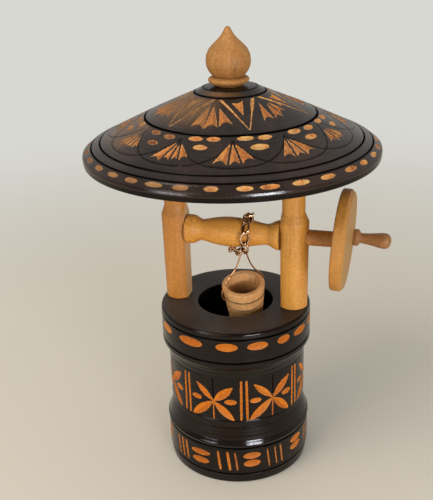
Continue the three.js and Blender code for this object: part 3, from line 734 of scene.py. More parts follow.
def roofOutline(form):
    arris = roofBottom + form["arrisHeight"]
    ring, rimInner = form["ringRadius"], form["rimInner"]
    corners = [(0, roofBottom + form["hollow"])]
    for share in np.arange(1, 9) / 8:  # the hollow underneath
        corners.append((rimInner * share, roofBottom + form["hollow"] * math.sqrt(1 - share ** 2)))
    corners += [(form["edgeRadius"], roofBottom, 0.5), (form["arrisRadius"], arris - 1.1, 0.4),
                (form["arrisRadius"] - 0.27, arris + 0.1, 0.3)]
    for i, (radius, height, width) in enumerate(form["grooves"]):
        half = width / 2
        corners += [(radius + half, roofBottom + height - half * (0.48 if i else 0.72), 0.12),
                    (radius, roofBottom + height - 0.8, 0.12),
                    (radius - half, roofBottom + height + half * 0.48, 0.12)]
    corners += [(ring + 0.6, roofTop - 0.45, 0.2), (ring + 0.1, roofTop - 0.9, 0.1),
                (ring - 0.5, roofTop - 0.1, 0.3), (8.0, roofTop), (0, roofTop)]

    def spacing(radius, height):
        if radius < ring or (radius < rimInner + 1 and height < roofBottom + form["hollow"] + 0.1):
            return 4.0
        if abs(height - arris + 0.5) < 1.1:
            return form["grooveSpacing"]
        if height < arris:
            return form["plainSpacing"]
        nearGroove = min(abs(radius - groove[0]) for groove in form["grooves"]) < 1.1
        return form["grooveSpacing"] if nearGroove else form["spacing"]

    return outline(corners, spacing)


def carveRoof(points, sides, cuts):
    carving = Carving((len(points), sides))
    radius = points[:, :1] * np.ones(sides)
    angle = np.ones((len(points), 1)) * (turnsOf(sides) - cuts["patternTurn"])
    across = radius * np.cos(np.radians(angle))
    back = radius * np.sin(np.radians(angle))
    length = outlineLengths(points)
    grooves = roofForm["grooves"]
    under = points[:, 1:] < roofBottom + roofForm["arrisHeight"] + 0.2
    rim = (radius > grooves[0][0] + 0.5) & ~under
    cone = (radius < grooves[1][0] - 0.8) & ~under
    upper = cone & (radius > cuts["upperStart"])

    def around(place):  # millimetres round the roof from a pattern angle
        return radius * np.radians(wrapped(angle - place))

    def plan(place, reach):
        return reach * math.cos(math.radians(place)), reach * math.sin(math.radians(place))

    def turned(places, turn):
        return [(place + turn, reach) for place, reach in places]

    def carve(area, inside, tone, slope, deepest):
        carving.add(np.where(area, inside, farOutside), tone, slope, deepest)

    def feather(apex, tipA, tipB, notch):
        x, y = plan(*apex)
        inside = featherCut(across, back, (x, y), plan(*tipA), plan(*tipB), notch)
        inside += cuts["featherGrowth"] * np.clip((np.hypot(across - x, back - y) - 3) / 7, -0.5, 1)
        middle = plan((tipA[0] + tipB[0]) / 2, (tipA[1] + tipB[1]) / 2)
        # two facets meet in its valley; one facet is painted darker, as painted shade
        shadedFacet = (back - y) * (middle[0] - x) - (across - x) * (middle[1] - y) > 0
        carve(cone, inside, np.where(shadedFacet, 0.35, 0.95), 0.6, 0.9)

    # the lower fans, each with an incised arc behind it
    fans = list(cuts["fans"])
    behind = placesBehind(cuts["fansFirst"], cuts["fansLast"], cuts["fansBehind"])
    for i, middle in enumerate(behind):
        place, apex, tips = cuts["fans"][2 - i % 2]
        turn = middle - cuts["fanMiddle"] + cuts["fanStep"] * (i % 2)
        fans.append((place + turn, apex, turned(tips, turn)))
    power, space, reach = cuts["arcPower"], cuts["fanGap"], cuts["arcReach"]
    for place, apex, tips in fans:
        phase = np.clip(np.abs(wrapped(angle - place)) / cuts["arcHalfAngle"], 0, 1)
        wanted = cuts["arcInner"] + reach * (1 - phase ** power)
        steep = reach * power * phase ** (power - 1) / math.radians(cuts["arcHalfAngle"]) / radius
        distance = np.abs(radius - wanted) / np.sqrt(1 + steep ** 2)
        inside = np.where((phase < 1) & cone, cuts["arcHalfWidth"] - distance, farOutside)
        carving.scratch(inside, 0.18, 0.95)
        for tipA, tipB in zip(tips[:-1], tips[1:]):
            ownApex = ((tipA[0] + tipB[0]) / 2 - place) * cuts["apexShare"] + place, apex
            feather(ownApex, (tipA[0] + space, tipA[1]), (tipB[0] - space, tipB[1]), cuts["fanNotch"])
    # ovals in threes between the fans
    ovals = list(cuts["ovals"])
    halfGap = (behind[1] - behind[0]) / 2
    for middle in behind:
        ovals += [(middle + halfGap + place, *rest) for place, *rest in cuts["ovalsBehind"]]
    for place, reach, long, wide, tone in ovals:
        u = around(place)
        tone = tone + 0.25 * np.sin(u * 0.8 + place)
        carving.add(ovalCut(u, radius - reach, long, wide), tone, 0.35, 0.5)
    # ovals round the rim, measured along its outline
    middleRow = length[np.argmin(np.abs(points[:, 0] - cuts["rimOvalRadius"]) + 9 * under[:, 0])]
    v = (length - middleRow)[:, None] * np.ones(sides)
    rimOvals = list(cuts["rimOvals"])
    for i, place in enumerate(placesBehind(rimOvals[0][0], rimOvals[-1][0], cuts["rimOvalsBehind"])):
        rimOvals.append((place, cuts["rimOvalBehind"] + math.sin(2.1 * i)))
    for place, long in rimOvals:
        u = around(place)
        inside = ovalCut(u, v, long, cuts["rimOvalWidth"] * rng.uniform(0.9, 1.05))
        faded = cuts["rimFading"] if cuts["rimFadedFrom"] < place % 360 < cuts["rimFadedTo"] else 0
        carve(rim, inside, rng.uniform(0.5, 1.6) - faded + 0.4 * np.sin(u + place), 0.35, 0.55)
    # the upper cone: fans, long cuts and wedges
    for i in range(cuts["upperCopies"]):
        turn = cuts["upperTurn"] * i
        atStreak = i == cuts["streakCopy"]
        feathers = [turned(corners, turn) for corners in cuts["upperFeathers"]]
        if i == cuts["sideCopy"]:
            feathers = cuts["sideFeathers"]
        for corners in feathers:
            feather(*corners, cuts["upperNotch"])
        wedge = [plan(*place) for place in turned(cuts["wedge"], turn)]
        inside = featherCut(across, back, *wedge, cuts["wedgeNotch"])
        carve(cone, inside, 1.7 if atStreak else 0.9, 0.6, 0.7)
        longCuts = [(*turned((inner, outer), turn), half, shares)
                    for inner, outer, half, shares in cuts["longCuts"]]
        if atStreak:
            longCuts = [longCuts[0], cuts["streak"]]
        for inner, outer, half, shares in longCuts:
            inside = bladeCut(across, back, plan(*inner), plan(*outer), half, shares)
            # painted shade along the middle of its outer part; elsewhere the cut is pale, as a painted
            # highlight
            carve(upper, inside, np.where((inside > 0.3) & (radius > 27), 0.2, 1.6), 0.8, 0.6)
    # scratches
    for i in range(cuts["scratches"] + cuts["sideScratches"]):
        start = rng.uniform(*cuts["scratchAngles"])
        ends = rng.uniform(*cuts["scratchInner"]), rng.uniform(*cuts["scratchOuter"])
        slant = (ends[1] - ends[0]) * rng.uniform(*cuts["scratchSlants"])
        half = rng.uniform(*cuts["scratchHalves"])
        if i >= cuts["scratches"]:
            start, slant = rng.uniform(*cuts["sideAngles"]), rng.uniform(*cuts["sideSlants"])
            half = cuts["sideHalf"]
        inside = bladeCut(across, back, plan(start, ends[0]), plan(start + slant, ends[1]), half,
                          cuts["scratchShares"])
        inside = np.where(inside > 0, inside * cuts["scratchStrength"], inside)
        carve(upper, inside, rng.uniform(0.9, 2.0), 0.5, 0.25)
    # black in the turned grooves and, thinner, on the seat of the finial and the rim's side
    ring = roofForm["ringRadius"]
    for groove, height, width in [*grooves, (ring + 0.2, 0, 0.7)]:
        carving.blacken(np.where(under, 9, radius - groove), width)
    seat = 0.55 * (radius < ring - 0.3) * ~under
    below = roofBottom + roofForm["arrisHeight"] - 1.6 - points[:, 1:]
    side = np.clip(below / 0.5, 0, 0.72) * (radius > roofForm["rimInner"] + 4)
    carving.line = np.maximum(np.maximum(carving.line, seat), side)
    return carving


def between(values, start, full, fading, end):  # 0 outside, 1 from full to fading, and ramps beside
    rising = np.clip((values - start) / (full - start), 0, 1)
    return rising * np.clip((end - values) / (end - fading), 0, 1)


def wornRoof(points, sides, wear, cut):  # how far the stain is rubbed off at each place
    turns = (turnsOf(sides) - roofCuts["patternTurn"]) % 360
    radius = points[:, :1]
    streak = np.convolve(rng.random(sides + 2), [0.25, 0.5, 0.25], "valid")
    streak = np.clip((streak - 0.3) / 0.4, 0, 1)
    cone, ring, skirt = [between(turns, *wear[place + "Angles"]) * between(radius, *wear[place + "Radii"])
                         for place in ("cone", "ring", "skirt")]
    rim = between(turns, *wear["rimAngles"]) * (radius > wear["rimFrom"]) * (cut > 0)  # only in its ovals
    rubbed = cone * (0.55 + 0.45 * streak) + wear["ringShare"] * ring
    rubbed = rubbed + wear["skirtShare"] * skirt * (0.4 + 0.6 * streak)
    return np.clip(rubbed + wear["rimShare"] * rim, 0, 1)


roofPoints = roofOutline(roofForm)
roofRows = roofPoints[1:-1]
rowRadius, rowHeight = roofRows[:, :1], roofRows[:, 1:]
roofCarving = carveRoof(roofRows, roofForm["sides"], roofCuts)
roofWorn = wornRoof(roofRows, roofForm["sides"], roofWear, roofCarving.cut)
underRoof = (rowRadius < roofForm["rimInner"]) & (rowHeight < roofBottom + roofForm["hollow"] + 0.1)
roofMarks = turningMarks(roofRows, roofForm["marks"])
roofMarks = roofMarks * np.clip(rowHeight - roofBottom - roofForm["arrisHeight"] - 0.3, 0, 1)
roof = turnedPiece("carved_roof", roofPoints, roofForm["sides"], roofCarving.depth + roofMarks,
                   {"cut": roofCarving.cut, "tone": roofCarving.tone, "line": roofCarving.line,
                    "matte": underRoof * 1.0, "worn": roofWorn})
finishPiece(roof, darkStain("roof_stain", roofLook), "frame", "dark_stained_wood", "roof")
print("Roof turned and carved:", len(roof.data.polygons), "faces")


# Finial

finialForm = {
    "name": "finial_knob", "part": ("frame", "finial_wood", "finial"), "sharp": 50,
    "wood": ("finial_wood", "ab783a", "976229", "6a431a", "Z", 0.62, 0.6, 0.31),
    "tints": [("crackAndCreaseShade", 0.7, "4a2a12")], "marks": [(0.03, 1.1, 0), (0.03, 2.7, 2)],
    "sides": 112, "rows": 130, "radius": 11.05, "middle": (-0.6, -0.2),
    # (place, radius) shares, from its seat to its tip
    "outlineShares": [
        (0, 0.56), (0.03, 0.7), (0.065, 0.86), (0.105, 0.925), (0.14, 0.87), (0.168, 0.7), (0.18, 0.7),
        (0.22, 0.81), (0.29, 0.92), (0.36, 0.985), (0.42, 1), (0.5, 0.985), (0.56, 0.94), (0.63, 0.85),
        (0.7, 0.69), (0.77, 0.505), (0.83, 0.35), (0.9, 0.22), (0.955, 0.145), (0.985, 0.1), (1, 0.03),
    ],
    # small cracks in the wood: (angle, height share of its lower and upper end, half width)
    "cracks": [(-58, 0.28, 0.44, 0.24), (-53, 0.38, 0.48, 0.18), (-60, 0.2, 0.28, 0.2),
               (-66, 0.4, 0.5, 0.14)],
    "crackDepth": 0.2,
    "creaseShare": 0.174, "creaseWidth": 0.011, "creaseShadeStrength": 0.75,  # painted shade along the crease over its foot ring
}
finialSeat = roofTop + seatGap
finialHeight = highOf("finial").z - finialSeat
finialPoints = shareOutline(finialForm, finialSeat, finialHeight)
finialRows = finialPoints[1:-1]
heightShare = (finialRows[:, 1:] - finialSeat) / finialHeight
# painted shade along the crease over the foot ring, kept in one layer with the dark cracks
creaseShade = np.exp(-((heightShare - finialForm["creaseShare"]) / finialForm["creaseWidth"]) ** 2)
cracks = np.maximum(np.zeros(finialForm["sides"]), finialForm["creaseShadeStrength"] * creaseShade)
for angle, low, high, half in finialForm["cracks"]:
    u = finialRows[:, :1] * np.radians(wrapped(turnsOf(finialForm["sides"]) - angle))
    ends = (0, finialSeat + low * finialHeight), (0.3, finialSeat + high * finialHeight)
    inside = bladeCut(u, finialRows[:, 1:], *ends, half, leafShares)
    cracks = np.maximum(cracks, np.clip(inside / 0.3 + 0.5, 0, 1))
finialPlace = Matrix.Translation((*finialForm["middle"], 0))
makeTurned(finialForm, finialPoints, finialPlace, {"crackAndCreaseShade": cracks}, finialForm["crackDepth"] * cracks)


# Posts

postForm = {
    # the flat face is tinted paler, as painted light; the foot is tinted darker, as painted shade where it
    # meets the body
    "tints": [("planedFaceShading", 0.75, "c9a06e"), ("contactShade", 0.75, "5a3212")],
    "sides": 96, "place": 31.8, "footRadius": 7.2, "topRadius": 7.8, "edgeRound": 0.9,
    "shoulderBottom": 48.0, "neckRadius": 6.0, "neckTop": 2.6, "flatOffset": 5.8, "flatHeight": 56.0,
    # the left post is -1, the right one 1
    "wider": {-1: 0.0, 1: 0.3}, "boreRadius": {-1: 3.35, 1: 4.55}, "boreDepth": {-1: 8.3, 1: 18.1},
    # the left post's colours are darker than the right's, as painted shade on that post
    "wood": {-1: ("left_post_wood", "be7c2e", "b07026", "854d16", "Z", 0.45, 0.35, 0.11),
             1: ("right_post_wood", "d2933c", "c28230", "94591a", "Z", 0.45, 0.35, 0.63)},
}


def makePost(name, side, form):
    wider = form["wider"][side]  # only its outer half
    centre = side * (form["place"] + wider)
    flatOffset = form["flatOffset"] + wider
    footRadius, topRadius = form["footRadius"] + wider, form["topRadius"] + wider
    neckRadius = form["neckRadius"]
    seat = bodyTop + seatGap
    neckTop = roofBottom + form["neckTop"]
    shoulder = bodyTop + form["shoulderBottom"]
    corners = [
        (0, seat), (footRadius, seat, form["edgeRound"]), (topRadius - 0.1, shoulder - 4, 4.0),
        (topRadius, shoulder, 3.0), (neckRadius, shoulder + 5, 3.0), (neckRadius - 0.1, neckTop),
        (0, neckTop),
    ]
    rows = outline(corners, lambda radius, height: 0.8 if radius > 5 else 2, 8)[1:-1]
    grid = turnedGrid(rows, form["sides"], turningMarks(rows, [(0.03, 1.3, side), (0.03, 3.7, 1)]))
    low = grid[:, :, 2] < bodyTop + form["flatHeight"]
    planedFaceShading = low & (grid[:, :, 0] * -side > flatOffset)  # the side toward the drum is flat
    grid[:, :, 0] = np.where(planedFaceShading, -side * flatOffset, grid[:, :, 0])
    # painted shade round the foot where it meets the body
    contactShade = np.clip(1 - (grid[:, :, 2] - seat) / 0.5, 0, 1)
    layers = {"planedFaceShading": planedFaceShading, "contactShade": contactShade}
    post = gridMesh(name + "_dowel", grid, (0, 0, seat), (0, 0, neckTop), layers=layers)
    placePiece(post, Matrix.Translation((centre, 0, 0)))
    flatFace = centre - side * flatOffset
    reach = sorted((flatFace - 2 * side, flatFace + side * form["boreDepth"][side]))
    bore(post, rodTool(form["boreRadius"][side], *reach, alongX(z=axleHeight)))
    wood = turnedWood(*form["wood"][side])
    for tinting in form["tints"]:
        overlay(wood, *tinting)
    finishPiece(post, wood, "frame", "pale_wood", name, 34)


makePost("left_post", -1, postForm)
makePost("right_post", 1, postForm)
print("Finial and posts turned")


# Windlass

drumForm = {
    "name": "drum_roller", "part": ("windlass", "pale_wood", "drum"), "sharp": 38,
    "wood": ("drum_wood", "db9a42", "cc8730", "965b1e", "X", 0.5, 0.4, 0.23),
    # the tint is painted shade at both ends, in the gap where the drum meets the posts
    "tints": [("contactShade", 0.9, "5a2a14")], "marks": [(0.03, 1.2, 0), (0.03, 2.9, 1)],
    "sides": 96, "rows": 130, "radius": 7.9,
    # (place, radius) shares, from the left end over the middle to the right end
    "outlineShares": [
        (-1, 0.965), (-0.92, 0.985), (-0.84, 0.965), (-0.75, 0.82), (-0.665, 0.72), (-0.56, 0.78),
        (-0.38, 0.905), (-0.2, 0.985), (-0.02, 1), (0.16, 0.965), (0.4, 0.865), (0.57, 0.755),
        (0.715, 0.705), (0.81, 0.82), (0.9, 0.965), (1, 1.01),
    ],
}
drumHalf = highOf("drum").x
drumPoints = shareOutline(drumForm, 0, drumHalf)
drumEndShade = np.clip(1 - (drumHalf - np.abs(drumPoints[1:-1, 1:])) / 0.45, 0, 1)
makeTurned(drumForm, drumPoints, alongX(z=axleHeight), {"contactShade": drumEndShade})

shaftForm = {
    "name": "crank_shaft_dowel", "part": ("windlass", "red_wood", "crank_shaft"), "sharp": 50,
    "wood": ("shaft_wood", "cc8840", "b2742e", "74451a", "X", 0.45, 0.5, 0.37),
    "tints": [], "marks": [], "sides": 72, "radius": 4.2, "ridge": 0.13, "ridgeLength": 1.05,
}
shaftStart, shaftEnd = lowOf("crank_shaft").x, highOf("crank_shaft").x
shaftPoints = refine(np.array([(0, shaftStart), (shaftForm["radius"], shaftStart),
                               (shaftForm["radius"], shaftEnd), (0, shaftEnd)], float), lambda r, h: 0.2)
shaftPlace = outlineLengths(shaftPoints[1:-1])
shaftRidges = shaftForm["ridge"] * (0.5 - 0.5 * np.cos(2 * math.pi * shaftPlace / shaftForm["ridgeLength"]))
shaftRidges = np.where(shaftPoints[1:-1, 0] > shaftForm["radius"] - 0.1, shaftRidges, 0)
makeTurned(shaftForm, shaftPoints, alongX(z=axleHeight), depth=shaftRidges[:, None])

wheelForm = {
    "name": "crank_wheel_disc", "part": ("windlass", "pale_wood", "crank_wheel"), "sharp": 30,
    "wood": ("wheel_wood", "ba7f34", "aa712a", "85521e", "Z", 0.5, 0.45, 0.57),
    # the tint on its flat outer face is greyer and darker, as painted shade
    "tints": [("planedFaceShading", 0.75, "a87e42")], "marks": [(0.02, 1.7, 0), (0.02, 2.9, 1)],
    "sides": 200, "radius": 26.4, "thickness": 7.0, "edgeRound": 1.9, "backRound": 0.6, "dome": 0.5,
    "place": 54.7, "lean": 3.4,
}


def leaned(matrix):  # the wheel and its handle sit a little askew on the shaft
    middle = Matrix.Translation((wheelForm["place"] + wheelForm["thickness"] / 2, 0, axleHeight))
    return middle @ Matrix.Rotation(math.radians(wheelForm["lean"]), 4, "Y") @ middle.inverted() @ matrix


def wheelOutline(form):
    radius, thick, dome = form["radius"], form["thickness"], form["dome"]
    corners = [
        (0, 0), (radius - form["backRound"], 0, 0.2), (radius, form["backRound"], 0.4),
        (radius, thick - dome - form["edgeRound"], 0.4), (radius - form["edgeRound"], thick - dome, 0.5),
        (radius * 0.62, thick - dome * 0.3, 3), (4.5, thick), (0, thick),
    ]
    return outline(corners, lambda r, h: 0.8, 6)


wheelPoints = wheelOutline(wheelForm)
wheelFaceShade = wheelPoints[1:-1, 1:] > wheelForm["thickness"] - wheelForm["dome"] - 0.4
wheelPlace = leaned(alongX(wheelForm["place"], 0, axleHeight))
makeTurned(wheelForm, wheelPoints, wheelPlace, {"planedFaceShading": wheelFaceShade})

handleForm = {
    "name": "crank_handle_knob", "part": ("windlass", "red_wood", "crank_handle"), "sharp": 50,
    "wood": ("red_wood", "a5703c", "8a5c2e", "5a3716", "X", 0.45, 0.5, 0.41), "tints": [], "marks": [],
    "sides": 72, "rows": 70, "radius": 4.5, "length": 19.45, "throw": 17.0, "angle": -15.5,
    # (place, radius) shares, from its seat on the wheel
    "outlineShares": [
        (0, 0.95), (0.06, 1), (0.115, 0.97), (0.155, 0.76), (0.175, 0.62), (0.3, 0.63),
        (0.45, 0.71), (0.6, 0.81), (0.73, 0.9), (0.84, 0.92), (0.92, 0.8), (0.975, 0.52), (1, 0.15),
    ],
}
handlePoints = shareOutline(handleForm, 0, handleForm["length"])
handleSeat = wheelForm["place"] + wheelForm["thickness"] + seatGap
handleAngle = math.radians(handleForm["angle"])
handleAcross = handleForm["throw"] * math.cos(handleAngle)
handleUp = handleForm["throw"] * math.sin(handleAngle)
handlePlace = leaned(alongX(handleSeat, handleAcross, axleHeight + handleUp))
redWood = makeTurned(handleForm, handlePoints, handlePlace)
frame["nodes"]["left_pivot_pin"].data.materials.clear()
frame["nodes"]["left_pivot_pin"].data.materials.append(redWood)
print("Windlass turned")


# Bucket: made upright round its rim's middle, then tilted over the hinge of its ears

bucketForm = {
    "name": "bucket_cup", "part": ("bucket", "bucket_wood", "bucket"), "sharp": 38,
    # its colours are set paler, as painted light where the roof shades the bucket
    "wood": ("bucket_wood", "e3ad70", "cf965a", "9c6632", "Z", 0.5, 0.6, 0.71),
    # the first tint is painted shade inside the hollow
    "tints": [("hollowShade", 0.9, "4a2510"), ("groove", 1.0, "3a1a0a")],
    "marks": [(0.03, 1.1, 0), (0.03, 2.3, 1)],
    "sides": 120, "height": 22.0, "rimRadius": 11.6, "footRadius": 9.0,
    "hollowRadius": 8.5, "hollowFootRadius": 6.2, "floor": 4.5, "rimRound": 1.3,
    "grooveSpacing": 5.6, "grooveDepth": 0.6, "grooveWidth": 0.8, "earDrop": 4.8, "earHole": 0.7,
    "earHoleReach": (6.2, 14), "tilt": 13.0, "bailTurn": 50.0,
}
tilt = math.radians(bucketForm["tilt"])
bucketUp = Vector((0, -math.sin(tilt), math.cos(tilt)))
rimMiddle = anchorOf("bucket_tilt") + bucketUp * bucketForm["earDrop"]
bucketPlace = (Matrix.Translation(rimMiddle) @ Matrix.Rotation(tilt, 4, "X")
               @ Matrix.Rotation(math.radians(bucketForm["bailTurn"] + 180), 4, "Z"))


def bucketOutline(form):
    def radiusAt(drop):
        return form["rimRadius"] + (form["footRadius"] - form["rimRadius"]) * drop / form["height"]

    bottom = -form["height"]
    rim, inner = form["rimRadius"], form["hollowRadius"]
    corners = [(0, bottom), (form["footRadius"], bottom, form["rimRound"])]
    half = form["grooveWidth"] / 2
    for count in (3, 2, 1):
        drop = count * form["grooveSpacing"]
        radius = radiusAt(drop)
        corners += [(radius, -drop - half, 0.15), (radius - form["grooveDepth"], -drop, 0.15),
                    (radius, -drop + half, 0.15)]
    corners += [
        (rim, 0, form["rimRound"] * 0.6), (inner + 0.3, -0.05, 0.15),
        (inner, -0.4, 0.15), (form["hollowFootRadius"], form["floor"] - form["height"], 0.4),
        (0, form["floor"] - form["height"]),
    ]
    return outline(corners, lambda r, h: 0.5)


bucketPoints = bucketOutline(bucketForm)
bucketRows = bucketPoints[1:-1]
rowRadius, rowHeight = bucketRows[:, :1], bucketRows[:, 1:]
hollow = (rowRadius < bucketForm["hollowRadius"] + 0.2) & (rowHeight > -bucketForm["height"] + 2)
# painted shade inside the hollow, darker towards its floor
hollowShadeShare = np.where(hollow, np.clip((-rowHeight - 5) / 8, 0.15, 1), 0)
grooveLayer = sum(np.exp(-((rowHeight + count * bucketForm["grooveSpacing"]) / 0.5) ** 2)
                  for count in (1, 2, 3)) * ~hollow
rimEdge = np.exp(-((rowRadius - bucketForm["hollowRadius"] - 0.3) / 0.3) ** 2) * (rowHeight > -0.6)
earHoles = []
for turn in (0, math.pi):
    earPlace = Matrix.Rotation(turn, 4, "Z") @ alongX(z=-bucketForm["earDrop"])
    earHoles.append(rodTool(bucketForm["earHole"], *bucketForm["earHoleReach"], earPlace))
bucketLayers = {"hollowShade": hollowShadeShare, "groove": grooveLayer + 0.45 * rimEdge}
makeTurned(bucketForm, bucketPoints, bucketPlace, bucketLayers, holes=earHoles)


# Bail and chain

wireForm = {
    "bailRadius": 0.4, "bailSteps": 160, "bailSides": 12, "bailHeight": 20.2,
    # shares of the rim's radius and the bail's height, from the front ear over the top to the back ear
    "bailShares": [
        (0.87, -0.24), (1.06, -0.235), (1.18, -0.17), (1.2, 0.02), (1.09, 0.17), (0.9, 0.3), (0.62, 0.44),
        (0.36, 0.57), (0.19, 0.72), (0.045, 0.88), (-0.06, 0.965), (-0.155, 0.99), (-0.25, 0.965),
        (-0.33, 0.86), (-0.41, 0.68), (-0.51, 0.5), (-0.66, 0.32), (-0.9, 0.12), (-1.09, -0.03),
        (-1.17, -0.14), (-1.08, -0.235), (-0.87, -0.24),
    ],
    "linkLength": 7.8, "linkWidth": 5.7, "linkRadius": 0.66, "linkSteps": 48, "linkSides": 12,
    # (name, light colour, dark colour, roughness)
    "bailWire": ("bail_wire", "d8a070", "9a6034", 0.32),
    "linkWire": ("chain_wire", "f2caa0", "8a5230", 0.12),
}


def sweptGrid(path, radius, sides, closed=False):
    if closed:
        along = np.roll(path, -1, axis=0) - np.roll(path, 1, axis=0)
    else:
        along = np.gradient(path, axis=0)
    along /= np.linalg.norm(along, axis=1)[:, None]
    flat = np.linalg.svd(path - path.mean(axis=0))[2][2]  # the path's flattest direction
    aside = np.cross(along, flat)
    aside /= np.linalg.norm(aside, axis=1)[:, None]
    up = np.cross(along, aside)
    angles = np.arange(sides) * 2 * math.pi / sides
    ring = np.cos(angles)[None, :, None] * aside[:, None] + np.sin(angles)[None, :, None] * up[:, None]
    return path[:, None] + radius * ring


def copperWire(name, light, dark, rough):
    material, tree, shader = newFinish(name, light)
    dull = noise(tree, objectCoords(tree), 700.0, 3.0, 0.6)
    color = over(tree, tint(light), spread(tree, dull, 0.4, 0.75), dark)
    # a layer of the mesh paints shade on the inner side of the links
    color = over(tree, color, layer(tree, "innerShade"), "3c1a0e")
    shader.inputs["Metallic"].default_value = 1.0
    plug(tree, shader, {"Base Color": color, "Normal": bump(tree, dull, 0.02, 0.4),
                        "Roughness": spread(tree, dull, 0.3, 0.8, rough, rough + 0.2)})
    return material


bailPath = smoothLine([(u * bucketForm["rimRadius"], 0, w * wireForm["bailHeight"])
                       for u, w in wireForm["bailShares"]], wireForm["bailSteps"])
bailGrid = sweptGrid(bailPath, wireForm["bailRadius"], wireForm["bailSides"])
bail = gridMesh("bucket_bail_wire", bailGrid, bailPath[0], bailPath[-1], layers={"innerShade": 0})
placePiece(bail, bucketPlace)
finishPiece(bail, copperWire(*wireForm["bailWire"]), "bail", "chain_metal", "bucket_bail", 60)


def linkPlace(node):  # a link's middle and its length, width and thickness directions, from its CAD points
    points = np.array([vertex.co[:] for vertex in node.data.vertices]) / mm
    unique = np.unique(points.round(3), axis=0)
    centre = unique.mean(axis=0)
    axes = np.linalg.svd(unique - centre)[2]
    if np.linalg.det(axes) < 0:
        axes[2] *= -1
    return Matrix.Translation(centre) @ Matrix(axes.T).to_4x4()


def linkPath(form):
    reach = form["linkWidth"] / 2 - form["linkRadius"]
    straight = (form["linkLength"] - form["linkWidth"]) / 2
    angles = np.arange(form["linkSteps"]) * 2 * math.pi / form["linkSteps"]
    x = reach * np.cos(angles) + straight * np.sign(np.cos(angles)) * np.abs(np.cos(angles)) ** 0.35
    return np.stack([x, reach * np.sin(angles), 0 * angles], axis=1)


linkLoop = linkPath(wireForm)
linkGrid = sweptGrid(linkLoop, wireForm["linkRadius"], wireForm["linkSides"], closed=True)
inward = np.linalg.norm(linkLoop, axis=1)[:, None] - np.linalg.norm(linkGrid, axis=2)
# painted shade on the inner side of each loop
linkLayers = {"innerShade": np.clip(inward / wireForm["linkRadius"] * 1.2, 0, 0.9)}
linkFinish = copperWire(*wireForm["linkWire"])
linkNodes = sorted(name for name in frame["nodes"] if name.startswith("chain_link_"))
for name in linkNodes:
    link = gridMesh(name + "_wire", linkGrid, closed=True, layers=linkLayers)
    placePiece(link, linkPlace(frame["nodes"][name]))
    finishPiece(link, linkFinish, "chain_loop", "chain_metal", name, sharp=None)
print("Bucket, bail and", len(linkNodes), "links made")


# Floor, lights and camera

setting = {
    "floorSize": 8.0, "floorTint": "cfc9bb", "farTint": "d8d8d2", "farFrom": 0.14, "farTo": 0.75,
    "worldTint": "f0eeea", "ambient": 0.72, "roomNear": 0.12, "roomFar": 0.55,
    # (name, azimuth, elevation, distance in metres, width, height, watts, tint)
    "lamps": [
        ("key", -125, 50, 1.1, 0.7, 0.7, 6.2, "fff6ea"),
        ("window", -52, 7, 1.0, 0.36, 0.09, 5.8, "f4f6ff"),
        ("side", -120, 8, 1.2, 0.5, 0.06, 1.7, "f4f6ff"),
    ],
    "lampAim": (0, 0, 100),
    "cameraPlace": (106.6, -396.8, 299.1), "cameraAzimuth": 16.36, "cameraDrop": 23.27, "cameraRoll": -1.95,
    "lens": 60.27,
}


def makeFloor(form):
    half = form["floorSize"] / 2
    mesh = bpy.data.meshes.new("floor")
    corners = [(-half, -half, 0), (half, -half, 0), (half, half, 0), (-half, half, 0)]
    mesh.from_pydata(corners, [], [(0, 1, 2, 3)])
    floor = bpy.data.objects.new("floor", mesh)
    scene.collection.objects.link(floor)
    material, tree, shader = newFinish("pale_floor", form["floorTint"])
    shader.inputs["Base Color"].default_value = tint(form["floorTint"])
    shader.inputs["Roughness"].default_value = 0.6
    # far away the camera sees an even pale ground, near the well the lit floor with its shadows
    distance = put(tree, "VectorMath", {0: objectCoords(tree)}, operation="LENGTH").outputs["Value"]
    far = spread(tree, distance, form["farFrom"], form["farTo"])
    seen = put(tree, "LightPath").outputs["Is Camera Ray"]
    even = put(tree, "Emission", {"Color": tint(form["farTint"])})
    share = times(tree, far, seen)
    mixed = put(tree, "MixShader", {0: share, 1: shader.outputs[0], 2: even.outputs[0]})
    tree.links.new(mixed.outputs[0], tree.nodes["Material Output"].inputs[0])
    mesh.materials.append(material)


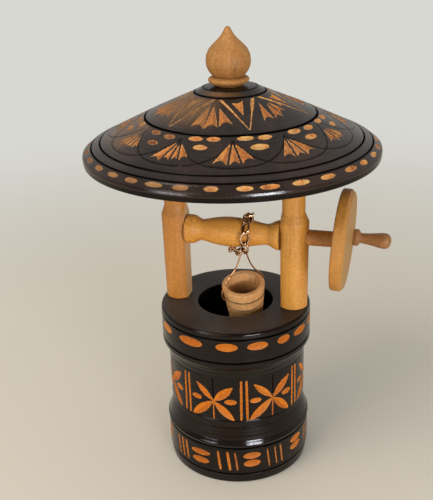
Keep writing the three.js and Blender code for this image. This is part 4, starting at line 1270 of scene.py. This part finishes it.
def makeWorld(form):
    world = bpy.data.worlds.new("soft_room")
    world.use_nodes = True
    scene.world = world
    tree = world.node_tree
    tree.nodes.clear()
    path = put(tree, "LightPath")
    # glossy surfaces see a room that is dimmer behind the camera
    backward = put(tree, "SeparateXYZ", {0: put(tree, "TexCoord").outputs["Generated"]}).outputs[1]
    wall = spread(tree, backward, -0.35, 0.35, form["roomNear"], form["roomFar"])
    room, ambient, pale = [
        put(tree, "Background", {"Color": tint(form["worldTint"]), "Strength": strength}).outputs[0]
        for strength in (wall, form["ambient"], 1.0)]
    seen = calc(tree, "MAXIMUM", path.outputs["Is Camera Ray"], path.outputs["Is Transmission Ray"])
    glossy = put(tree, "MixShader", {0: path.outputs["Is Glossy Ray"], 1: ambient, 2: room})
    mixed = put(tree, "MixShader", {0: seen, 1: glossy.outputs[0], 2: pale})
    tree.links.new(mixed.outputs[0], put(tree, "OutputWorld").inputs[0])


def makeLamp(name, azimuth, elevation, distance, width, height, watts, color, aim):
    data = bpy.data.lights.new(name, "AREA")
    data.shape = "RECTANGLE"
    data.size, data.size_y = width, height
    data.energy = watts
    data.color = tint(color)[:3]
    lamp = bpy.data.objects.new(name, data)
    turn, rise = math.radians(azimuth), math.radians(elevation)
    away = Vector((math.cos(turn) * math.cos(rise), math.sin(turn) * math.cos(rise), math.sin(rise)))
    lamp.location = Vector(aim) * mm + away * distance
    lamp.rotation_euler = away.to_track_quat("Z", "Y").to_euler()
    scene.collection.objects.link(lamp)


def makeCamera(form):
    data = bpy.data.cameras.new("camera")
    data.sensor_width = 36
    data.lens = form["lens"]
    data.clip_start = 0.01
    camera = bpy.data.objects.new("camera", data)
    turn = (Matrix.Rotation(math.radians(form["cameraAzimuth"]), 4, "Z")
            @ Matrix.Rotation(math.radians(90 - form["cameraDrop"]), 4, "X")
            @ Matrix.Rotation(math.radians(form["cameraRoll"]), 4, "Z"))
    camera.matrix_world = Matrix.Translation(Vector(form["cameraPlace"]) * mm) @ turn
    scene.collection.objects.link(camera)
    scene.camera = camera


makeFloor(setting)
makeWorld(setting)
for lampSettings in setting["lamps"]:
    makeLamp(*lampSettings, setting["lampAim"])
makeCamera(setting)
print("Floor, lamps and camera placed")
